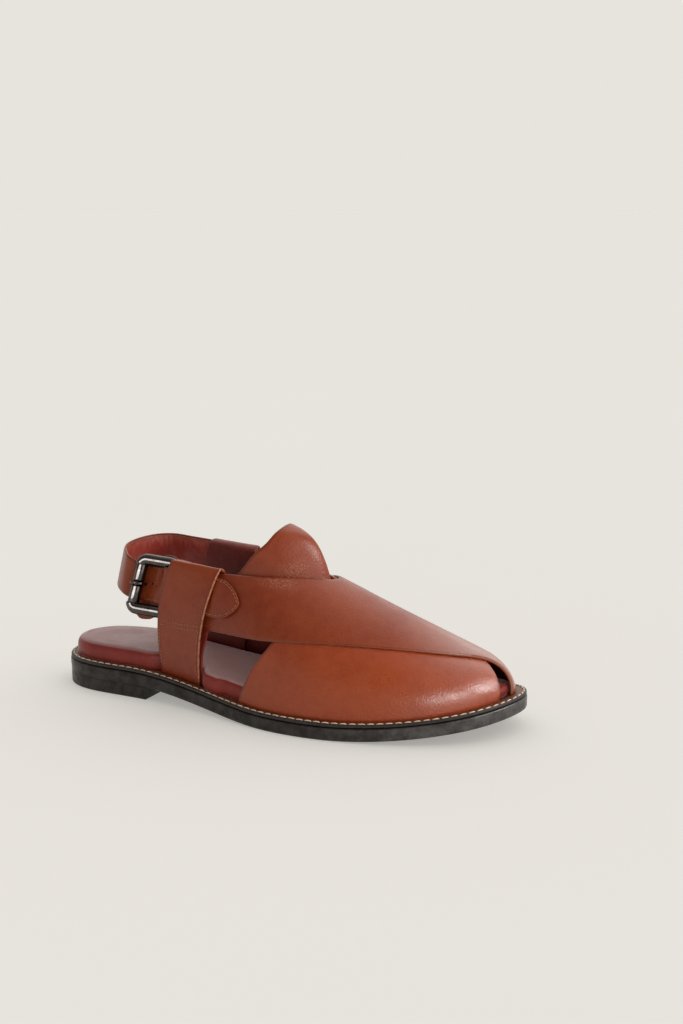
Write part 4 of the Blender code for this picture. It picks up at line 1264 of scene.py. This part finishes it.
class Paint(Nodes):
    """A material and its nodes. Sizes are in millimetres; along() is in metres, 0 at mid length."""

    def __init__(self, name):
        self.material = bpy.data.materials.new(name)
        self.material.use_nodes = True
        super().__init__(self.material.node_tree)
        self.shader = self.nodes["Principled BSDF"]
        self.place = self.node("TexCoord").outputs["Object"]

    def scaled(self, size, stretch=(1, 1, 1)):
        scale = tuple(1000 / size * part for part in stretch)
        return self.node("Mapping", {"Vector": self.place, "Scale": scale}).outputs[0]

    def noise(self, size, detail, rough, stretch=(1, 1, 1), distort=0.0):
        return self.node("TexNoise", {
            "Vector": self.scaled(size, stretch), "Scale": 1.0, "Detail": detail, "Roughness": rough,
            "Distortion": distort,
        }).outputs[0]

    def cells(self, size):
        inputs = {"Vector": self.scaled(size), "Scale": 1.0}
        return self.node("TexVoronoi", inputs, feature="DISTANCE_TO_EDGE").outputs["Distance"]

    def attribute(self, name):
        return self.node("Attribute", attribute_name=name).outputs["Fac"]

    def along(self):
        return self.axis(self.place, "X")

    def mix(self, factor, first, second):
        """first and second are sockets or hex codes."""
        made = self.node("Mix", data_type="RGBA")
        for socket, value in ((0, factor), (6, first), (7, second)):
            self.put(made.inputs[socket], rgb(value) if isinstance(value, str) else value)
        return made.outputs[2]

    def bump(self, height, distance, normal=None):
        inputs = {"Height": height, "Distance": distance * MM, "Strength": 1.0}
        if normal is not None:
            inputs["Normal"] = normal
        return self.node("Bump", inputs).outputs[0]

    def grain(self, *layers):
        """Bumps over each other, each a noise's values and its height."""
        normal = None
        for *noise, height in layers:
            normal = self.bump(self.noise(*noise), height, normal)
        return normal

    def set(self, **values):
        for key, value in values.items():
            self.put(self.shader.inputs[key.replace("_", " ")], value)
        return self.material


def rgb(code):
    """A linear colour from a hex code."""
    parts = [int(code[i:i + 2], 16) / 255 for i in (0, 2, 4)]
    return (*[p / 12.92 if p <= 0.04045 else ((p + 0.055) / 1.055) ** 2.4 for p in parts], 1.0)


def cognac(name):
    """Polished leather: mottled dye, burnished edges, a fine pebble grain, patches of crazing with painted
    glints, a glossy toe, and painted shade round the back of the heel.
    """
    paint = Paint(name)
    cloud = paint.span(paint.noise(55, 3, 0.55, distort=0.3), 0.3, 0.7)
    fine = paint.span(paint.noise(6, 4, 0.65), 0.3, 0.7)
    colour = paint.mix(cloud, "7e2f17", "8a3918")
    colour = paint.mix(paint.times(fine, 0.22), colour, "9c5030")
    worn = paint.span(paint.attribute("edge"), 0.2, 2.2, 0.55, 0.0)
    colour = paint.mix(worn, colour, "5e2410")
    along = paint.along()
    # Painted shade: the leather darkens towards the back of the heel, round the strap's rear.
    colour = paint.mix(paint.span(along, -0.135, -0.1, 0.45, 0.0), colour, "542a20")
    pebble = paint.noise(1.2, 2, 0.6)
    fibre = paint.noise(0.5, 2, 0.6)
    crackle_and_glints = paint.attribute("crackle_and_glints")
    flake = paint.span(paint.cells(0.6), 0.02, 0.16, 1.0, 0.0)
    specks = paint.span(paint.noise(1.1, 5, 0.8), 0.46, 0.62)
    crazing_and_glints = paint.times(paint.times(flake, specks), crackle_and_glints)
    # The pale specks are painted glints, light caught on the crazing put into the colour; the bump further
    # down is the crazing itself.
    colour = paint.mix(paint.times(crazing_and_glints, 0.75), colour, "dca288")
    gloss = paint.span(paint.noise(13, 1, 0.5), 0.3, 0.7, 0.26, 0.36, "LINEAR")
    normal = paint.bump(pebble, 0.175)
    normal = paint.bump(fibre, 0.028, normal)
    normal = paint.bump(paint.noise(16, 2, 0.5), 0.12, normal)
    normal = paint.bump(crazing_and_glints, 0.06, normal)
    polish = paint.span(along, 0.075, 0.125)
    return paint.set(
        Base_Color=colour, Roughness=gloss, Normal=normal, Coat_Normal=normal, Coat_Roughness=0.13,
        Coat_Weight=paint.times(polish, 0.5),
        Specular_IOR_Level=paint.span(polish, 0.0, 1.0, 0.33, 0.5, "LINEAR"),
    )


def two_toned(name, noise, low, high, dark, light, grain, **finish):
    """A dyed surface of two tones with one grain."""
    paint = Paint(name)
    colour = paint.mix(paint.span(paint.noise(*noise), low, high), dark, light)
    return paint.set(Base_Color=colour, Normal=paint.grain(grain), **finish)


def cut_edge(name, dark, light):
    """The cut edge of leather: dyed and polished, with its fibres running along it."""
    return two_toned(name, (1.6, 4, 0.7), 0.35, 0.65, dark, light, (0.45, 3, 0.6, 0.06), Roughness=0.42)


def oxblood(name, dark, middle, sheen, roughness=0.42, sheen_weight=0.12, top_sheen=0.0, rear=0.0):
    """Soft lining leather, deep red, with painted light. It is lighter along the lining's top and on its
    folds; bloom greys what faces up, short of the toe, as a painted sheen; rear darkens the back with painted
    shade.
    """
    paint = Paint(name)
    cloud = paint.span(paint.noise(28, 4, 0.6, distort=0.5), 0.3, 0.7)
    colour = paint.mix(cloud, dark, middle)
    colour = paint.mix(paint.span(paint.noise(2.2, 4, 0.7), 0.45, 0.75, 0.0, 0.3), colour, sheen)
    # Painted light: top gives a sheen along the lining's upper band, and fold puts highlights on the ridges
    # of its creases.
    for attribute, share, tone in (("top", 0.2, sheen), ("fold", 0.35, "b86a58"), ("lip", 0.8, "8a4630")):
        colour = paint.mix(paint.times(paint.attribute(attribute), share), colour, tone)
    # Painted sheen: what faces up is greyed short of the toe, and paler still over the middle of the foot, as
    # the reflection of the pale surroundings.
    upward = paint.axis(paint.node("NewGeometry").outputs["True Normal"], "Z")
    along = paint.along()
    sheen_mask = paint.times(paint.span(upward, 0.7, 0.98, 0.0, top_sheen), paint.span(along, 0.04, 0.07, 1.0, 0.0))
    colour = paint.mix(sheen_mask, colour, "886664")
    paler_sheen = paint.times(sheen_mask, paint.span(along, -0.07, -0.045, 0.0, 0.75))
    colour = paint.mix(paler_sheen, colour, "b48e8a")
    # Painted shade: rear darkens the back, where the lining faces the lights from the toe.
    colour = paint.mix(paint.span(along, -0.12, -0.085, rear, 0.0), colour, "4a1812")
    normal = paint.grain((0.9, 2, 0.5, 0.08), (0.6, 3, 0.6, 0.05), (12, 3, 0.55, 0.35))
    gloss = paint.span(paint.noise(10, 3, 0.6), 0.25, 0.75, roughness - 0.05, roughness + 0.09)
    return paint.set(
        Base_Color=colour, Roughness=gloss, Normal=normal, Sheen_Weight=sheen_weight, Sheen_Roughness=0.3,
        Sheen_Tint=rgb("d8c8cc"), Specular_IOR_Level=0.35,
    )


def rubber(name):
    """Near-black sole edge: scuffed, matt at the heel and shinier towards the toe."""
    paint = Paint(name)
    scuff = paint.span(paint.noise(7, 5, 0.7, stretch=(1, 1, 0.5)), 0.45, 0.75)
    colour = paint.mix(scuff, "1a100c", "2a2320")
    normal = paint.grain((0.9, 4, 0.65, 0.10), (5, 3, 0.6, 0.25))
    gloss = paint.span(paint.noise(4, 4, 0.7), 0.3, 0.7, 0.28, 0.50)
    along = paint.along()
    mottle = paint.span(paint.noise(9, 4, 0.65), 0.35, 0.65, 0.65, 1.35)
    shine = paint.times(paint.span(along, 0.02, 0.12, 0.36, 0.95), mottle)
    return paint.set(Base_Color=colour, Roughness=gloss, Normal=normal, Specular_IOR_Level=shine)


def welt_leather(name, dark, light):
    """Plain dyed leather with a fine grain."""
    return two_toned(name, (4, 4, 0.65), 0.3, 0.7, dark, light, (0.7, 3, 0.6, 0.07), Roughness=0.5)


def thread(name, dark, light):
    """Waxed thread: its plies show as a fine slanting twist."""
    twist = (0.35, 1, 0.5, (1, 1, 0.4), 0.08)
    return two_toned(name, (1.2, 3, 0.6), 0.3, 0.7, dark, light, twist, Roughness=0.6, Sheen_Weight=0.2)


def gunmetal(name):
    """Dark polished nickel with fine hair scratches."""
    paint = Paint(name)
    colour = paint.mix(paint.span(paint.noise(3, 4, 0.6), 0.3, 0.7), "464240", "5c5754")
    scratch = paint.noise(0.5, 3, 0.6, stretch=(0.15, 1, 1))
    gloss = paint.span(paint.noise(2.5, 4, 0.7), 0.3, 0.7, 0.10, 0.2)
    return paint.set(Base_Color=colour, Metallic=1.0, Roughness=gloss, Normal=paint.bump(scratch, 0.02))


PALE = rgb("e7e4dd")
FLOOR_GLOW = 0.4                     # share of the floor's brightness that shadows don't touch
FLOOR_TINT = (1.038, 1.065, 1.147)   # its reflectance over PALE: the lit floor then matches the world


def floor_paint(name):
    paint = Paint(name)
    tone = paint.span(paint.noise(400, 2, 0.5), 0.3, 0.7)
    low, high = [
        (*[part * tint * scale for part, tint in zip(PALE, FLOOR_TINT)], 1) for scale in (0.995, 1.005)
    ]
    return paint.set(
        Base_Color=paint.mix(tone, low, high), Roughness=0.95, Specular_IOR_Level=0.0,
        Emission_Color=PALE, Emission_Strength=FLOOR_GLOW,
    )


# Light, floor and camera


AZIMUTH, ELEVATION, ROLL = math.radians(24.12), math.radians(10.76), math.radians(0.20)
AIM = (150.0, 0.0, 40.0)
DISTANCE, ASIDE, ABOVE = 1000.0, -33.29, -76.94
FOCAL_PIXELS, IMAGE_HEIGHT = 1640.0, 1024
SENSOR = 36.0


def build_camera():
    """A camera at the photo's viewing angle: it looks past AIM by ASIDE and ABOVE, from DISTANCE away."""
    right = np.array([math.cos(AZIMUTH), math.sin(AZIMUTH), 0.0])
    level = np.array([math.sin(AZIMUTH), -math.cos(AZIMUTH), 0.0])
    back = level * math.cos(ELEVATION) + np.array([0.0, 0.0, math.sin(ELEVATION)])
    up = np.cross(back, right)
    place = np.array(AIM) - ASIDE * right - ABOVE * up + DISTANCE * back
    rolled_right = right * math.cos(ROLL) + up * math.sin(ROLL)
    rolled_up = up * math.cos(ROLL) - right * math.sin(ROLL)
    data = bpy.data.cameras.new("camera")
    data.sensor_width = SENSOR
    data.lens = SENSOR * FOCAL_PIXELS / IMAGE_HEIGHT
    data.clip_end = 50
    camera = bpy.data.objects.new("camera", data)
    bpy.context.scene.collection.objects.link(camera)
    turn = Matrix((rolled_right, rolled_up, back)).transposed()
    camera.matrix_world = Matrix.Translation(Vector(placed(place))) @ turn.to_4x4()
    bpy.context.scene.camera = camera


def build_stage(paint):
    """A wide level floor; the pale surroundings go on behind it."""
    reach = 60.0
    grid = np.array([[(x, y, 0) for x in (-reach, reach)] for y in (-reach, reach)]) / MM
    floor = new_object("floor", grid.reshape(-1, 3), quads(2, 2)[:, ::-1], [paint])


DIM_TURN = math.radians(-12)
DIM_SIDE, DIM_HEIGHT, DIM_TO = (-0.3, 0.5), (0.06, 0.45), 0.32


def build_world():
    """Pale surroundings, dimmer above the camera's side of the studio."""
    world = bpy.data.worlds.new("studio")
    world.use_nodes = True
    bpy.context.scene.world = world
    sky = Nodes(world.node_tree)
    direction = sky.node("TexCoord").outputs["Generated"]
    height = sky.axis(direction, "Z")
    front = (math.sin(DIM_TURN), -math.cos(DIM_TURN), 0.0)
    toward = sky.node("VectorMath", {0: direction, 1: front}, operation="DOT_PRODUCT").outputs["Value"]
    dim = sky.times(sky.span(toward, *DIM_SIDE), sky.span(height, *DIM_HEIGHT))
    background = sky.nodes["Background"]
    background.inputs["Color"].default_value = PALE
    sky.put(background.inputs["Strength"], sky.span(dim, 0.0, 1.0, 1.0, DIM_TO, "LINEAR"))


# Name, direction from the shoe, strength, degrees across, and the pieces lit where not all but the floor are.
# The toe strips are a row that bends round the toe: they draw its highlight out along the welt.
LIGHTS = (
    ("back_softbox", (-0.15, 0.80, 0.58), 0.42, 56, ()),
    ("toe_softbox", (0.84, 0.12, 0.50), 1.5, 25, ()),
    ("toe_side_softbox", (0.86, -0.40, 0.32), 0.65, 42, ()),
    ("toe_strip_back", (0.66, 0.50, 0.58), 0.40, 15, ("under_band",)),
    ("toe_strip_front", (0.80, -0.50, 0.38), 0.50, 15, ("under_band",)),
    ("toe_strip_side", (0.62, -0.76, 0.20), 0.45, 15, ("under_band",)),
    ("buckle_strip", (-0.30, -0.88, 0.30), 1.8, 30, ("buckle_bars", "buckle_tongue_pin")),
    ("roller_glow", (-0.22, -0.90, 0.26), 6.0, 50, ("buckle_roller_sleeve",)),
    ("footbed_fill", (0.30, -0.88, 0.36), 0.7, 40, ("footbed_cushion",)),
)
FILL_SHADED_BY = ("footbed_cushion", "welt_strip")   # the bands don't keep the fill off the footbed


def sun(name, towards, strength, degrees):
    """A distant round softbox; towards points from the shoe to it."""
    data = bpy.data.lights.new(name, "SUN")
    data.energy = strength
    data.angle = math.radians(degrees)
    light = bpy.data.objects.new(name, data)
    bpy.context.scene.collection.objects.link(light)
    turn = (-Vector(towards)).to_track_quat("-Z", "Y").to_matrix().to_4x4()
    light.matrix_world = Matrix.Translation(Vector(towards).normalized() * 3) @ turn
    return light


def collected(label, names):
    found = bpy.data.collections.new(label)
    for name in names:
        found.objects.link(bpy.data.objects[name])
    return found


def build_light():
    """Softboxes. Each is linked to a few pieces, as a flag would keep it off the others."""
    build_world()
    bpy.context.scene.view_settings.view_transform = "Standard"
    shoe = [obj.name for obj in bpy.data.objects if obj.type == "MESH" and obj.name != "floor"]
    for name, towards, strength, degrees, lit in LIGHTS:
        light = sun(name, towards, strength, degrees)
        light.light_linking.receiver_collection = collected(name + "_lights", lit or shoe)
    light.light_linking.blocker_collection = collected("footbed_fill_blockers", FILL_SHADED_BY)


# All of it


def build_all():
    leather = cognac("cognac")
    edge = cut_edge("cognac_edge", "74300f", "8e441f")
    # The turned edge's light colour is a painted highlight along the keeper's front.
    highlight_edge = cut_edge("cognac_turned_edge_highlight", "964a2c", "b87a58")
    inside = oxblood("oxblood_inside", "662019", "782a22", "8c4038")
    lining = oxblood("oxblood_lining", "8c2c22", "a23c30", "b8584a", rear=0.45)
    cushion = oxblood("oxblood_cushion", "6a180e", "782015", "86342a", 0.46, 0.6, top_sheen=0.78)
    sole = rubber("black_rubber")
    steel = gunmetal("dark_nickel")
    cream = thread("cream_thread", "d2bca0", "f0ddc8")
    rust = thread("rust_thread", "84442a", "ac6a48")
    hide = (leather, edge, inside)
    build_outsole(sole)
    build_heel(sole)
    build_welt(welt_leather("welt_hide", "5c2e1a", "7e4a30"), welt_leather("welt_rim", "1a110d", "2c2320"))
    build_welt_stitches(cream)
    build_footbed(cushion)
    build_bands(hide)
    build_tongue(hide)
    for side, name, tops, skin in ((-1, "lateral", LATERAL_TOP, lining), (1, "medial", MEDIAL_TOP, inside)):
        grid = build_keeper(name, side, tops, (leather, edge, skin))
        build_keeper_stitches(name, grid, side, rust)
        build_keeper_edge(name, grid, side, highlight_edge)
    grid = build_strap(hide)
    build_strap_lining(grid, lining)
    build_strap_stitches(grid, rust)
    build_buckle_bars(steel)
    build_roller(steel)
    build_prong(steel)
    build_guard(hide)
    build_stage(floor_paint("pale_floor"))
    build_light()
    build_camera()


build_all()
